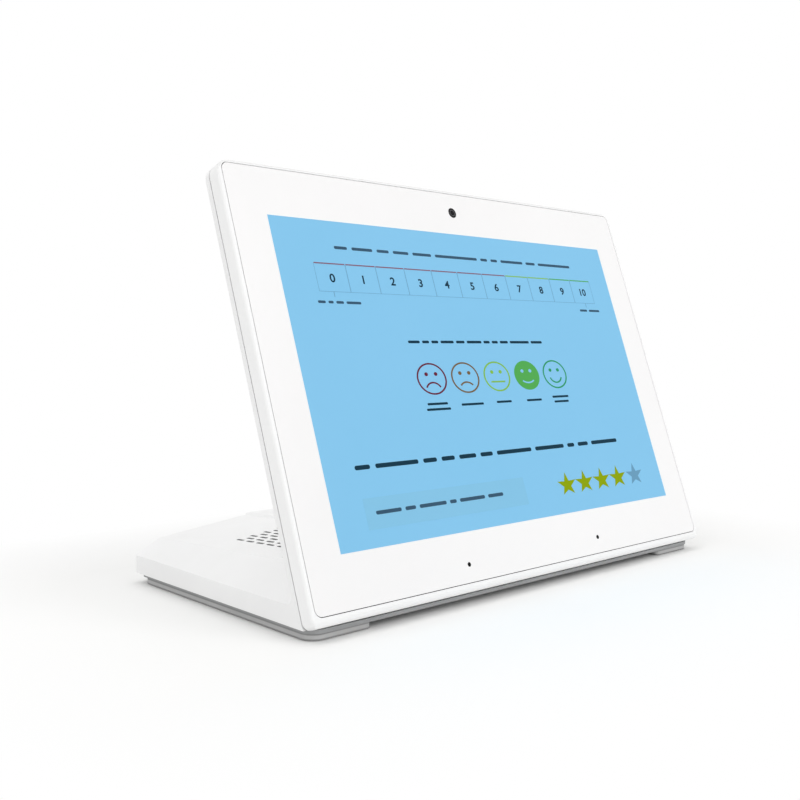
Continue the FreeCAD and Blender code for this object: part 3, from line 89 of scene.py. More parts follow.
def new_effect(name, inputs, outputs):
    """An empty shader group with named number inputs and outputs."""
    tree = bpy.data.node_groups.new(name, "ShaderNodeTree")
    for label, start in inputs.items():
        socket = tree.interface.new_socket(name=label, in_out="INPUT", socket_type="NodeSocketFloat")
        socket.default_value = start
    for label in outputs:
        tree.interface.new_socket(name=label, in_out="OUTPUT", socket_type="NodeSocketFloat")
    entry = add_node(tree, "NodeGroupInput")
    leave = add_node(tree, "NodeGroupOutput")
    return tree, entry.outputs, leave.inputs


def place_texture(tree, stretch=(1, 1, 1)):
    """Object coordinates, stretched along the axes, as a vector output."""
    where = add_node(tree, "ShaderNodeTexCoord")
    turned = add_node(tree, "ShaderNodeMapping")
    turned.inputs["Scale"].default_value = stretch
    tree.links.new(where.outputs["Object"], turned.inputs["Vector"])
    return turned.outputs["Vector"]


def noise(tree, vector, scale, detail=2.0):
    """A noise texture's value; scale is a number or an output that carries one."""
    made = add_node(tree, "ShaderNodeTexNoise")
    made.inputs["Detail"].default_value = detail
    tree.links.new(vector, made.inputs["Vector"])
    if isinstance(scale, (int, float)):
        made.inputs["Scale"].default_value = scale
    else:
        tree.links.new(scale, made.inputs["Scale"])
    return made.outputs["Fac"]


def work_out(tree, operation, first, second):
    """One arithmetic step on outputs or plain numbers."""
    made = add_node(tree, "ShaderNodeMath", operation=operation)
    for place, value in enumerate((first, second)):
        if isinstance(value, (int, float)):
            made.inputs[place].default_value = value
        else:
            tree.links.new(value, made.inputs[place])
    return made.outputs["Value"]


def spread(tree, value, low, high, new_low=0.0, new_high=1.0):
    """Map a range of values onto another range, clamped."""
    made = add_node(tree, "ShaderNodeMapRange")
    limits = {"From Min": low, "From Max": high, "To Min": new_low, "To Max": new_high}
    for name, number in limits.items():
        made.inputs[name].default_value = number
    tree.links.new(value, made.inputs["Value"])
    return made.outputs["Result"]


def apart(tree, vector):
    """The three numbers of a vector output."""
    made = add_node(tree, "ShaderNodeSeparateXYZ")
    tree.links.new(vector, made.inputs["Vector"])
    return made.outputs["X"], made.outputs["Y"], made.outputs["Z"]


def looks_up(tree):
    """The height of a face's normal: 1 where the face is level, and 0 where it stands."""
    geometry = add_node(tree, "ShaderNodeNewGeometry")
    return apart(tree, geometry.outputs["Normal"])[2]


print("node helpers ready")

# %% [markdown]
# Moulded plastic takes its skin from the tool: a very fine, even grain. Handling and ageing add
# slow clouds a few centimetres across. Both come from noise in Object coordinates, which needs no
# unwrapping and stays fixed to the piece when it moves.

# %% The moulded skin group
CLOUD_RANGE = (0.3, 0.7)
skin, entry, leave = new_effect("moulded skin", {"Grain": 1500.0, "Clouds": 25.0}, ["Cloud", "Relief"])
place = place_texture(skin)
skin.links.new(spread(skin, noise(skin, place, entry["Clouds"], 4.0), *CLOUD_RANGE), leave["Cloud"])
skin.links.new(noise(skin, place, entry["Grain"]), leave["Relief"])
print("group", skin.name)

# %% [markdown]
# Rolled and drawn metal has fine streaks along one direction. Noise that is stretched along X
# gives them, and a slower noise gives the dull patches of plating.

# %% The rolled metal group
STREAK_STRETCH = (0.06, 1, 1)
STREAK_SHARE = 0.6
MIX_RANGE = (0.35, 0.65)
rolled, entry, leave = new_effect("rolled metal", {"Grain": 900.0, "Clouds": 60.0}, ["Cloud", "Relief"])
streaks = noise(rolled, place_texture(rolled, STREAK_STRETCH), entry["Grain"], 3.0)
patches = noise(rolled, place_texture(rolled), entry["Clouds"], 3.0)
fine_part = work_out(rolled, "MULTIPLY", streaks, STREAK_SHARE)
slow_part = work_out(rolled, "MULTIPLY", patches, 1 - STREAK_SHARE)
mixed = work_out(rolled, "ADD", fine_part, slow_part)
rolled.links.new(spread(rolled, mixed, *MIX_RANGE), leave["Cloud"])
rolled.links.new(streaks, leave["Relief"])
print("group", rolled.name)

# %% [markdown]
# Speaker cloth is woven, so it has a regular cross pattern. Modelled threads would be far too many
# for a cloth that is seen through slots. Two waves at right angles are enough: the higher of the
# two is the thread on top.

# %% The cross pattern group
DULL_RANGE = (0.1, 0.6)
crossed, entry, leave = new_effect("cross pattern", {"Grain": 900.0, "Clouds": 80.0}, ["Cloud", "Relief"])
threads = []
for direction in ("X", "Y"):
    wave = add_node(crossed, "ShaderNodeTexWave", bands_direction=direction)
    wave.inputs["Distortion"].default_value = 0.6
    crossed.links.new(place_texture(crossed), wave.inputs["Vector"])
    crossed.links.new(entry["Grain"], wave.inputs["Scale"])
    threads.append(wave.outputs["Fac"])
top_thread = work_out(crossed, "MAXIMUM", threads[0], threads[1])
crossed.links.new(top_thread, leave["Relief"])
dulled = work_out(crossed, "MULTIPLY", top_thread, noise(crossed, place_texture(crossed), entry["Clouds"]))
crossed.links.new(spread(crossed, dulled, *DULL_RANGE), leave["Cloud"])
print("group", crossed.name)

# %% [markdown]
# Dust settles on faces that look up, and thins out where a hand wipes. The face's normal gives the
# first and a noise the second. The result only lifts or greys a colour by a few percent.

# %% The settled dust group
LEVEL_RANGE = (0.3, 1.0)
WIPE_SCALE = 70.0
WIPE_RANGE = (0.35, 0.75)
dust, entry, leave = new_effect("settled dust", {"Amount": 0.2}, ["Dust"])
facing_up = spread(dust, looks_up(dust), *LEVEL_RANGE)
wiped = spread(dust, noise(dust, place_texture(dust), WIPE_SCALE, 5.0), *WIPE_RANGE)
lying = work_out(dust, "MULTIPLY", facing_up, wiped)
dust.links.new(work_out(dust, "MULTIPLY", lying, entry["Amount"]), leave["Dust"])
print("group", dust.name)

# %% [markdown]
# Copper tracks show through a board's green coating as slightly raised, lighter lines. A brick
# texture's joints make runs that step aside, and small cells make the plated holes.

# %% The board tracks group
HOLES_PER_BRICK = 3.0
HOLE_EDGE = (0.22, 0.12)
tracks, entry, leave = new_effect("board tracks", {"Grain": 120.0}, ["Cloud", "Relief"])
bricks = add_node(tracks, "ShaderNodeTexBrick", offset=0.35, squash=1.6)
bricks.inputs["Mortar Size"].default_value = 0.06
bricks.inputs["Mortar Smooth"].default_value = 0.2
tracks.links.new(place_texture(tracks), bricks.inputs["Vector"])
tracks.links.new(entry["Grain"], bricks.inputs["Scale"])
holes = add_node(tracks, "ShaderNodeTexVoronoi")
tracks.links.new(place_texture(tracks), holes.inputs["Vector"])
tracks.links.new(work_out(tracks, "MULTIPLY", entry["Grain"], HOLES_PER_BRICK), holes.inputs["Scale"])
plated = spread(tracks, holes.outputs["Distance"], *HOLE_EDGE)
raised = work_out(tracks, "MAXIMUM", bricks.outputs["Fac"], plated)
tracks.links.new(raised, leave["Relief"])
tracks.links.new(raised, leave["Cloud"])
print("group", tracks.name)

# %% [markdown]
# With the groups made, a finish is a short recipe: its group, two colours, two roughnesses, the
# depth of its relief, and the shader's constants. Constants are set on the shader's own sockets.

# %% Turn a recipe into a material
DUST_TONE = (196, 193, 186)
RELIEF_STRENGTH = 0.6


def tone(red, green, blue):
    """A colour as seen on a screen, 0 to 255, turned into the linear values that shaders use."""
    parts = [value / 255 for value in (red, green, blue)]
    return [part / 12.92 if part <= 0.04045 else ((part + 0.055) / 1.055) ** 2.4 for part in parts] + [1.0]


def put_group(tree, group, values):
    """Place a shared group in a material, with this material's values."""
    made = add_node(tree, "ShaderNodeGroup", node_tree=group)
    for name, value in values.items():
        made.inputs[name].default_value = value
    return made.outputs


def blend_tones(tree, share, first, second):
    """Mix two colours, or a colour into an output, by a share that varies over the surface."""
    made = add_node(tree, "ShaderNodeMix", data_type="RGBA")
    tree.links.new(share, made.inputs["Factor"])
    for socket, colour in ((made.inputs[6], first), (made.inputs[7], second)):
        if isinstance(colour, (list, tuple)):
            socket.default_value = colour
        else:
            tree.links.new(colour, socket)
    return made.outputs[2]


def new_finish(name, group, values, tones, roughness, depth, dusty=0.0, **shader):
    """A material: clouds choose between two tones and two roughnesses, and the relief tilts the normals."""
    material = bpy.data.materials.new(name)
    material.use_nodes = True
    tree = material.node_tree
    surface = tree.nodes["Principled BSDF"]
    effect = put_group(tree, group, values)
    colour = blend_tones(tree, effect["Cloud"], tone(*tones[0]), tone(*tones[1]))
    if dusty:
        settled = put_group(tree, dust, {"Amount": dusty})["Dust"]
        colour = blend_tones(tree, settled, colour, tone(*DUST_TONE))
    tree.links.new(colour, surface.inputs["Base Color"])
    tree.links.new(spread(tree, effect["Cloud"], 0.0, 1.0, *roughness), surface.inputs["Roughness"])
    bump = add_node(tree, "ShaderNodeBump")
    bump.inputs["Distance"].default_value = depth
    bump.inputs["Strength"].default_value = RELIEF_STRENGTH
    tree.links.new(effect["Relief"], bump.inputs["Height"])
    tree.links.new(bump.outputs["Normal"], surface.inputs["Normal"])
    for label, value in shader.items():
        surface.inputs[label.replace("_", " ")].default_value = value
    print("finish", name)
    return material


def dress(material, *names):
    """Give CAD solids their material."""
    for name in names:
        for place in solids[name].material_slots:
            place.material = material


print("recipe helpers ready")

# %% [markdown]
# ## The white housing
#
# The front frame is smoother and shinier than the rear shell, which has a fine satin grain that
# hides finger marks. Both are the same neutral white, so they only differ in relief and shine.
# The cover under the base is light grey plastic, darker than the housing as painted shade for the dark
# under the base, and the buttons are as smooth as the frame.

# %% White plastics
frame_white = new_finish(
    "frame_white", skin, {"Grain": 1900.0, "Clouds": 18.0}, [(246, 246, 246), (249, 249, 249)],
    (0.28, 0.36), 0.000012, Specular_IOR_Level=0.35,
)
shell_white = new_finish(
    "shell_white", skin, {"Grain": 1300.0, "Clouds": 22.0}, [(243, 243, 243), (247, 247, 247)],
    (0.42, 0.5), 0.00003, dusty=0.05, Specular_IOR_Level=0.4,
)
# painted shade: the cover's grey stands for the shade under the base
cover_shade_grey = new_finish(
    "cover_shade_grey", skin, {"Grain": 1000.0, "Clouds": 30.0}, [(152, 153, 154), (164, 165, 166)],
    (0.5, 0.6), 0.00004, Specular_IOR_Level=0.35,
)
button_white = new_finish(
    "button_white", skin, {"Grain": 1900.0, "Clouds": 60.0}, [(240, 240, 240), (246, 246, 246)],
    (0.28, 0.36), 0.00001, Specular_IOR_Level=0.5,
)
dress(frame_white, "front_frame")
dress(shell_white, "rear_shell")
dress(cover_shade_grey, "bottom_cover")
dress(button_white, "power_button", "volume_down_button", "volume_up_button")

# %% [markdown]
# Painted shade darkens seams, slot walls and the edges of the feet, where little light reaches, and dust
# greys the frame's top edge. It could be painted on by hand, but a mask that is worked out from a
# point's place and facing fits the edges exactly, from every side. A mask is a share from 0 to 1, and
# it blends the material's own colour towards a darker one.

# %% Helpers for masks
def darken_where(material, share, colour):
    """Blend a material's colour towards a darker one by a mask that varies over the surface."""
    tree = material.node_tree
    base = tree.nodes["Principled BSDF"].inputs["Base Color"]
    tree.links.new(blend_tones(tree, share, base.links[0].from_socket, tone(*colour)), base)


def between(tree, value, low, high, soft):
    """1 between two limits, falling to 0 over a short way beyond them."""
    rising = spread(tree, value, low - soft, low)
    return work_out(tree, "MULTIPLY", rising, spread(tree, value, high, high + soft, 1.0, 0.0))


print("mask helpers ready")

# %% [markdown]
# Painted shade darkens the narrow seam where the frame meets the shell. Its depth behind the glass finds
# it: the dot product of a point's place with the direction in which the glass faces. The top edge of
# the frame is never wiped, so a second mask greys what faces up there.

# %% Painted shade in the seam, and the top edge of the frame
SEAM_DEPTH = 5.98 * MM
SEAM_SOFTNESS = 0.02 * MM
SEAM_SHADE_TONE = (120, 120, 121)
TOP_EDGE_TILT = (0.35, 0.9)
TOP_EDGE_TONE = (217, 217, 217)
frame_tree = frame_white.node_tree
outwards = add_node(frame_tree, "ShaderNodeVectorMath", operation="DOT_PRODUCT")
frame_tree.links.new(place_texture(frame_tree), outwards.inputs[0])
outwards.inputs[1].default_value = GLASS_NORMAL
seam_level = GLASS_NORMAL.dot(SCREEN_CENTRE) - SEAM_DEPTH
in_seam_shade = spread(frame_tree, outwards.outputs["Value"], seam_level, seam_level - SEAM_SOFTNESS)
# painted shade: the seam between frame and shell is darkened
darken_where(frame_white, in_seam_shade, SEAM_SHADE_TONE)
on_top = spread(frame_tree, looks_up(frame_tree), *TOP_EDGE_TILT)
darken_where(frame_white, on_top, TOP_EDGE_TONE)
print("seam from", round(SEAM_DEPTH / MM, 2), "mm behind the glass")

# %% [markdown]
# Painted shade darkens the walls of the speaker slots, where little light gets in. They are found as
# what stands upright inside one of the two fields of slots, left or right of the middle.

# %% Painted shade on the walls of the speaker slots
SLOTS_ACROSS = (79 * MM, 105 * MM)
SLOTS_BACK = (-24 * MM, 23 * MM)
SLOTS_UP = (0 * MM, 32 * MM)
WALL_TILT = (0.6, 0.3)
SLOT_SHADE_TONE = (150, 150, 151)
shell_tree = shell_white.node_tree
across, back, up = apart(shell_tree, place_texture(shell_tree))
in_field = between(shell_tree, work_out(shell_tree, "ABSOLUTE", across, 0), *SLOTS_ACROSS, MM)
for value, limits in ((back, SLOTS_BACK), (up, SLOTS_UP)):
    in_field = work_out(shell_tree, "MULTIPLY", in_field, between(shell_tree, value, *limits, MM))
tilt = work_out(shell_tree, "ABSOLUTE", looks_up(shell_tree), 0)
on_shaded_wall = work_out(shell_tree, "MULTIPLY", in_field, spread(shell_tree, tilt, *WALL_TILT))
# painted shade on the upright walls of the slots
darken_where(shell_white, on_shaded_wall, SLOT_SHADE_TONE)
print("slot fields, mm across", [round(limit / MM) for limit in SLOTS_ACROSS])

# %% [markdown]
# The cover glass is one sheet over the whole front, printed white from behind. Seen from outside it
# is a very even white under a polished surface, so its relief is a faint waviness and it has a coat.

# %% Cover glass
glass_white = new_finish(
    "printed_glass", skin, {"Grain": 90.0, "Clouds": 9.0}, [(245, 244, 244), (248, 247, 247)],
    (0.1, 0.14), 0.000004, Specular_IOR_Level=0.4, Coat_Weight=0.3,
)
dress(glass_white, "cover_glass")

# %% [markdown]
# ## Rubber, metal and boards
#
# Most of these pieces are hidden, but the part may be opened or cut away, so each gets its own
# finish. The feet are dull grey rubber; the sockets are nickel plated steel. Sheet metal and screws
# share the rolled metal group, with streaks as coarse or fine as the piece asks for.

# %% Feet, sockets and sheet metal
foot_rubber = new_finish(
    "foot_rubber", skin, {"Grain": 2600.0, "Clouds": 60.0}, [(182, 182, 182), (194, 194, 194)],
    (0.75, 0.9), 0.00003, dusty=0.25, Specular_IOR_Level=0.25,
)
socket_nickel = new_finish(
    "socket_nickel", rolled, {"Grain": 1400.0, "Clouds": 150.0}, [(176, 176, 178), (205, 205, 207)],
    (0.2, 0.34), 0.000008, Metallic=1.0,
)
tray_steel = new_finish(
    "tray_steel", rolled, {"Grain": 800.0, "Clouds": 60.0}, [(150, 152, 154), (182, 183, 185)],
    (0.32, 0.46), 0.00001, Metallic=1.0,
)
screw_zinc = new_finish(
    "screw_zinc", rolled, {"Grain": 2500.0, "Clouds": 500.0}, [(148, 150, 156), (190, 191, 196)],
    (0.24, 0.38), 0.000008, Metallic=1.0,
)
tin_plate = new_finish(
    "tin_plate", skin, {"Grain": 900.0, "Clouds": 200.0}, [(186, 186, 182), (212, 212, 208)],
    (0.3, 0.42), 0.00001, Metallic=1.0,
)
spreader_metal = new_finish(
    "spreader_metal", rolled, {"Grain": 600.0, "Clouds": 40.0}, [(192, 194, 197), (214, 215, 217)],
    (0.36, 0.48), 0.000012, Metallic=1.0,
)
dress(foot_rubber, "foot_pad_left", "foot_pad_right")
dress(socket_nickel, "network_socket", "host_socket_left", "host_socket_right", "device_socket")
dress(tray_steel, "backlight_tray", "lcd_clips")
dress(screw_zinc, "lcd_clip_screws", "mainboard_screws", "cover_screws", "socket_board_screws")
dress(tin_plate, "radio_shield", "camera_module", "microphone_left", "microphone_right")
dress(spreader_metal, "heat_spreader")

# %% [markdown]
# Painted shade darkens a foot along the edge of its sole, where it meets the counter, and along the top
# edge that lies in the shadow of the cover. Both are masks by the height above the counter.

# %% Painted shade on the edges of the feet
SOLE_SHADE_EDGE = (0.65 * MM, 0.45 * MM)
UNDER_COVER_SHADE_EDGE = (1.8 * MM, 2.1 * MM)
SOLE_SHADE_TONE = (150, 150, 150)
UNDER_COVER_SHADE_TONE = (146, 146, 146)
foot_tree = foot_rubber.node_tree
height = apart(foot_tree, place_texture(foot_tree))[2]
# painted contact shadow along the edge of the sole
darken_where(foot_rubber, spread(foot_tree, height, *SOLE_SHADE_EDGE), SOLE_SHADE_TONE)
# painted shade under the overhang of the cover
darken_where(foot_rubber, spread(foot_tree, height, *UNDER_COVER_SHADE_EDGE), UNDER_COVER_SHADE_TONE)
print("sole's edge is dark up to", round(SOLE_SHADE_EDGE[0] / MM, 2), "mm")

# %% [markdown]
# A circuit board is green coated glass fibre with its tracks showing through. The chips on it are
# black epoxy with a slightly sandy face, and its connectors are cream nylon.

# %% Boards, chips and plastics inside
board_green = new_finish(
    "board_green", tracks, {"Grain": 130.0}, [(24, 92, 52), (58, 132, 78)],
    (0.3, 0.42), 0.00003, Coat_Weight=0.3,
)
chip_black = new_finish(
    "chip_black", skin, {"Grain": 3000.0, "Clouds": 200.0}, [(34, 34, 36), (48, 48, 50)],
    (0.55, 0.7), 0.00001, Specular_IOR_Level=0.35,
)
plug_black = new_finish(
    "plug_black", skin, {"Grain": 1600.0, "Clouds": 120.0}, [(30, 30, 31), (42, 42, 43)],
    (0.4, 0.52), 0.00002, Specular_IOR_Level=0.4,
)
switch_black = new_finish(
    "switch_black", skin, {"Grain": 2200.0, "Clouds": 300.0}, [(38, 38, 40), (56, 56, 58)],
    (0.45, 0.6), 0.00001, Specular_IOR_Level=0.4,
)
nylon_cream = new_finish(
    "nylon_cream", skin, {"Grain": 1500.0, "Clouds": 250.0}, [(222, 214, 192), (236, 229, 210)],
    (0.4, 0.5), 0.00001, Subsurface_Weight=0.05,
)
ribbon_film = new_finish(
    "ribbon_film", rolled, {"Grain": 500.0, "Clouds": 40.0}, [(214, 217, 222), (238, 239, 242)],
    (0.24, 0.32), 0.00002, Coat_Weight=0.4,
)
antenna_film = new_finish(
    "antenna_film", tracks, {"Grain": 90.0}, [(132, 84, 30), (196, 140, 66)],
    (0.26, 0.38), 0.00002, Coat_Weight=0.5,
)
tape_black = new_finish(
    "tape_black", skin, {"Grain": 1200.0, "Clouds": 90.0}, [(24, 24, 24), (38, 38, 38)],
    (0.75, 0.9), 0.00004, Specular_IOR_Level=0.2,
)
dress(board_green, "mainboard", "socket_board")
dress(chip_black, "processor")
dress(plug_black, "power_inlet", "headset_socket", "speaker_box_left", "speaker_box_right")
dress(switch_black, "power_switch", "volume_down_switch", "volume_up_switch")
dress(nylon_cream, "mainboard_connector", "socket_board_connector")
dress(ribbon_film, "flat_cable")
dress(antenna_film, "antenna_left", "antenna_right")
dress(tape_black, "glass_tape")

# %% [markdown]
# The display stack is a dark polarised cell over an acrylic light guide. The speakers have a
# pressed cone behind a black cloth, which is what shows through the slots in the base. The lens
# behind the glass is coated, so it is dark violet and very shiny.

# %% Display stack, speakers and lens
cell_dark = new_finish(
    "cell_dark", skin, {"Grain": 400.0, "Clouds": 30.0}, [(20, 22, 27), (30, 33, 40)],
    (0.14, 0.2), 0.000004, Coat_Weight=0.6,
)
guide_acrylic = new_finish(
    "guide_acrylic", skin, {"Grain": 700.0, "Clouds": 30.0}, [(226, 230, 233), (240, 243, 245)],
    (0.08, 0.14), 0.000006, Transmission_Weight=0.5, IOR=1.49,
)
cone_paper = new_finish(
    "cone_paper", skin, {"Grain": 2200.0, "Clouds": 250.0}, [(34, 34, 36), (52, 51, 50)],
    (0.7, 0.85), 0.00004, Specular_IOR_Level=0.2,
)
speaker_cloth = new_finish(
    "speaker_cloth", crossed, {"Grain": 1100.0, "Clouds": 200.0}, [(20, 20, 21), (46, 46, 48)],
    (0.8, 0.95), 0.00006, Sheen_Weight=0.2,
)
lens_glass = new_finish(
    "lens_glass", skin, {"Grain": 300.0, "Clouds": 400.0}, [(14, 14, 22), (34, 26, 52)],
    (0.03, 0.06), 0.000002, Coat_Weight=1.0, IOR=1.6,
)
dress(cell_dark, "lcd_panel")
dress(guide_acrylic, "light_guide")
dress(cone_paper, "speaker_driver_left", "speaker_driver_right")
dress(speaker_cloth, "speaker_mesh_left", "speaker_mesh_right")
dress(lens_glass, "camera_lens")

# %% [markdown]
# ## Drawing on the screen
#
# The terminal shows a short survey on a light blue ground: a scale from 0 to 10, five rating faces,
# a question and a row of stars. Wording is left as plain bars, one for each word. Each shape is
# drawn flat on the ground first, with the screen's centre at the origin, and then gets a thickness
# of a few hundredths of a millimetre and is laid on the glass. Real shapes keep sharp edges at any
# size, where a texture would blur.

# %% Helpers for modelling
def fresh_start():
    """Object mode with nothing selected."""
    if bpy.context.object and bpy.context.object.mode != "OBJECT":
        bpy.ops.object.mode_set(mode="OBJECT")
    bpy.ops.object.select_all(action="DESELECT")


def pick(*pieces):
    """Select exactly these pieces, with the first one active."""
    fresh_start()
    for piece in pieces:
        piece.select_set(True)
    bpy.context.view_layer.objects.active = pieces[0]


def keep_shape():
    """Put the active object's place, turn and size into its mesh."""
    bpy.ops.object.transform_apply(location=True, rotation=True, scale=True)
    return bpy.context.object


def join_all(pieces):
    """Make several drawn shapes one object."""
    pick(*pieces)
    bpy.ops.object.join()
    return keep_shape()


def edit_all():
    """Edit mode with the whole mesh selected."""
    bpy.ops.object.mode_set(mode="EDIT")
    bpy.ops.mesh.select_all(action="SELECT")


def edit_points(piece, wanted):
    """Edit mode with exactly the points selected that pass the test."""
    bpy.ops.object.mode_set(mode="EDIT")
    bpy.ops.mesh.select_all(action="DESELECT")
    bpy.ops.object.mode_set(mode="OBJECT")
    for point in piece.data.vertices:
        point.select = wanted(point)
    bpy.ops.object.mode_set(mode="EDIT")


def fit(piece, name, material):
    """Name a finished piece, give it its material and let it ride on the terminal."""
    piece.name = name
    piece.data.materials.clear()
    piece.data.materials.append(material)
    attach(piece, "terminal")
    print(name, "points", len(piece.data.vertices))


print("modelling helpers ready")

# %% [markdown]
# Shapes that overlap need different heights, or their surfaces would flicker into each other. The
# levels are the heights of a shape's upper face above the glass, in millimetres. The ground comes
# first, then plates, marks, what lies on the lines, and what lies on a mark or a plate.

# %% Levels, and laying a drawing on the glass
INK_THICKNESS = 0.04 * MM
GROUND_LEVEL = 0.03
BORDER_LEVEL = 0.04
PLATE_LEVEL = 0.06
MARK_LEVEL = 0.07
LINE_LEVEL = 0.08
TOP_LEVEL = 0.09


def lay_on_glass(piece, name, level, material):
    """Give a flat drawing its thickness, lean it with the screen and let it ride on the terminal."""
    pick(piece)
    thick = piece.modifiers.new("thickness", "SOLIDIFY")
    thick.thickness = INK_THICKNESS
    thick.offset = 1.0
    bpy.ops.object.modifier_apply(modifier=thick.name)
    piece.rotation_euler = (math.pi / 2 - SCREEN_LEAN, 0, 0)
    piece.location = SCREEN_CENTRE + GLASS_NORMAL * (level * MM - INK_THICKNESS)
    keep_shape()
    fit(piece, name, material)


print("levels", GROUND_LEVEL, "to", TOP_LEVEL, "mm")

# %% [markdown]
# Most of the drawing is bars: cells, ticks and words. A bar is a plane whose corners are bevelled.
# A line of wording shares its width among its words, so that it keeps its length and its rhythm.

# %% Bars and lines of words
WORD_SPACE = 1.1


def bar(left, middle, width, height, round_share=0.45):
    """A flat bar with rounded ends, in millimetres from the screen's centre."""
    fresh_start()
    bpy.ops.mesh.primitive_plane_add(size=1, location=((left + width / 2) * MM, middle * MM, 0))
    piece = bpy.context.object
    piece.scale = (width * MM, height * MM, 1)
    keep_shape()
    if round_share:
        edit_all()
        bpy.ops.mesh.bevel(offset=min(width, height) * round_share * MM, segments=3, affect="VERTICES")
        bpy.ops.object.mode_set(mode="OBJECT")
    return piece


def word_bars(left, right, middle, height, lengths):
    """A line of wording as bars, one for each word, in the rhythm of the given lengths."""
    unit = (right - left) / (sum(lengths) + WORD_SPACE * (len(lengths) - 1))
    pieces = []
    for length in lengths:
        pieces.append(bar(left, middle, length * unit, height))
        left += (length + WORD_SPACE) * unit
    return join_all(pieces)


print("bar helpers ready")

# %% [markdown]
# The inks of the picture glow a little, as a lit display does, and are otherwise matt. Their base
# colour is the colour itself, so they also look right in plain daylight.

# %% Inks of the lit picture
GLOW = 0.1


def new_ink(name, first, second):
    """A display colour: two close tones under even light, with a weak glow of its own."""
    material = new_finish(
        name, skin, {"Grain": 6000.0, "Clouds": 14.0}, [first, second], (0.4, 0.46), 0.000001,
        Specular_IOR_Level=0.04, Emission_Strength=GLOW,
    )
    tree = material.node_tree
    surface = tree.nodes["Principled BSDF"]
    colour = surface.inputs["Base Color"].links[0].from_socket
    tree.links.new(colour, surface.inputs["Emission Color"])
    return material


sky_ink = new_ink("sky_ink", (128, 189, 225), (130, 190, 226))
panel_ink = new_ink("panel_ink", (127, 186, 218), (129, 187, 219))
line_ink = new_ink("line_ink", (104, 152, 184), (108, 156, 188))
dark_ink = new_ink("dark_ink", (18, 50, 66), (22, 54, 72))
word_ink = new_ink("word_ink", (52, 80, 102), (58, 86, 108))
red_ink = new_ink("red_ink", (98, 30, 50), (102, 34, 54))
rose_ink = new_ink("rose_ink", (128, 84, 104), (132, 88, 108))
gold_ink = new_ink("gold_ink", (112, 90, 58), (116, 94, 62))
lime_ink = new_ink("lime_ink", (126, 178, 66), (130, 182, 70))
leaf_ink = new_ink("leaf_ink", (78, 160, 78), (82, 164, 82))
fern_ink = new_ink("fern_ink", (44, 142, 92), (48, 146, 96))
olive_ink = new_ink("olive_ink", (132, 153, 0), (135, 156, 1))
slate_ink = new_ink("slate_ink", (98, 146, 176), (102, 150, 180))

# %% [markdown]
# The lit ground is one plate as large as the active area, with square corners. A picture on the
# face could stand in for the whole drawing, but it would need a file, and plates need none. The
# sub-panel behind the last line is a slightly darker plate on the ground.

# %% Lit ground and sub-panel
LIT_WIDTH = 216.96
LIT_HEIGHT = 135.6
ground = bar(-LIT_WIDTH / 2, 0.0, LIT_WIDTH, LIT_HEIGHT, 0)
lay_on_glass(ground, "lit_ground", GROUND_LEVEL, sky_ink)
lay_on_glass(bar(-92.5, -54.7, 94.5, 12.3, 0.02), "answer_panel", PLATE_LEVEL, panel_ink)
print("lit picture, mm", LIT_WIDTH, "x", LIT_HEIGHT)

# %% [markdown]
# The scale is a strip of eleven cells. A grid primitive gives the cells, an inset of each face draws
# the lines between them, and deleting the inner faces leaves only the lines. A tick under each end
# points to its label.

# %% Cells of the scale
CELL_LEFT = -90.7
CELL_RIGHT = 92.7
CELL_TOP = 48.6
CELL_FOOT = 36.3
CELL_COUNT = 11
CELL_LINE = 0.17
TICK_MIDDLE = 35.2
TICK_SIZE = (0.35, 2.2)
cell_width = (CELL_RIGHT - CELL_LEFT) / CELL_COUNT
fresh_start()
bpy.ops.mesh.primitive_grid_add(
    x_subdivisions=CELL_COUNT, y_subdivisions=1, size=1,
    location=((CELL_LEFT + CELL_RIGHT) / 2 * MM, (CELL_TOP + CELL_FOOT) / 2 * MM, 0),
)
cells = bpy.context.object
cells.scale = ((CELL_RIGHT - CELL_LEFT) * MM, (CELL_TOP - CELL_FOOT) * MM, 1)
keep_shape()
edit_all()
bpy.ops.mesh.inset(thickness=CELL_LINE * MM, use_individual=True)
bpy.ops.mesh.delete(type="FACE")
bpy.ops.object.mode_set(mode="OBJECT")
ticks = [bar(left, TICK_MIDDLE, *TICK_SIZE, 0) for left in (-83.4, 84.4)]
lay_on_glass(join_all([cells] + ticks), "scale_cells", PLATE_LEVEL, line_ink)

# %% [markdown]
# A coloured line runs along the top of each cell: rose for low scores, lime and green for high ones.
# Each run of cells with one colour is one piece, so that it takes one material.

# %% Coloured edges of the scale
EDGE_GAP = 0.3
EDGE_HEIGHT = 0.5


def top_edges(name, first, last, material):
    """The coloured top lines of a run of cells."""
    edges = []
    for cell in range(first, last + 1):
        left = CELL_LEFT + cell * cell_width + EDGE_GAP
        edges.append(bar(left, CELL_TOP, cell_width - 2 * EDGE_GAP, EDGE_HEIGHT, 0))
    lay_on_glass(join_all(edges), name, LINE_LEVEL, material)


top_edges("scale_edges_low", 0, 6, rose_ink)
top_edges("scale_edges_middle", 7, 8, lime_ink)
top_edges("scale_edges_high", 9, 10, leaf_ink)

# %% [markdown]
# The figures 0 to 10 are text objects. Each is centred in its cell, turned into a mesh, and the
# eleven are joined. They are plain numbers in Blender's own typeface, a little bolder and wider.

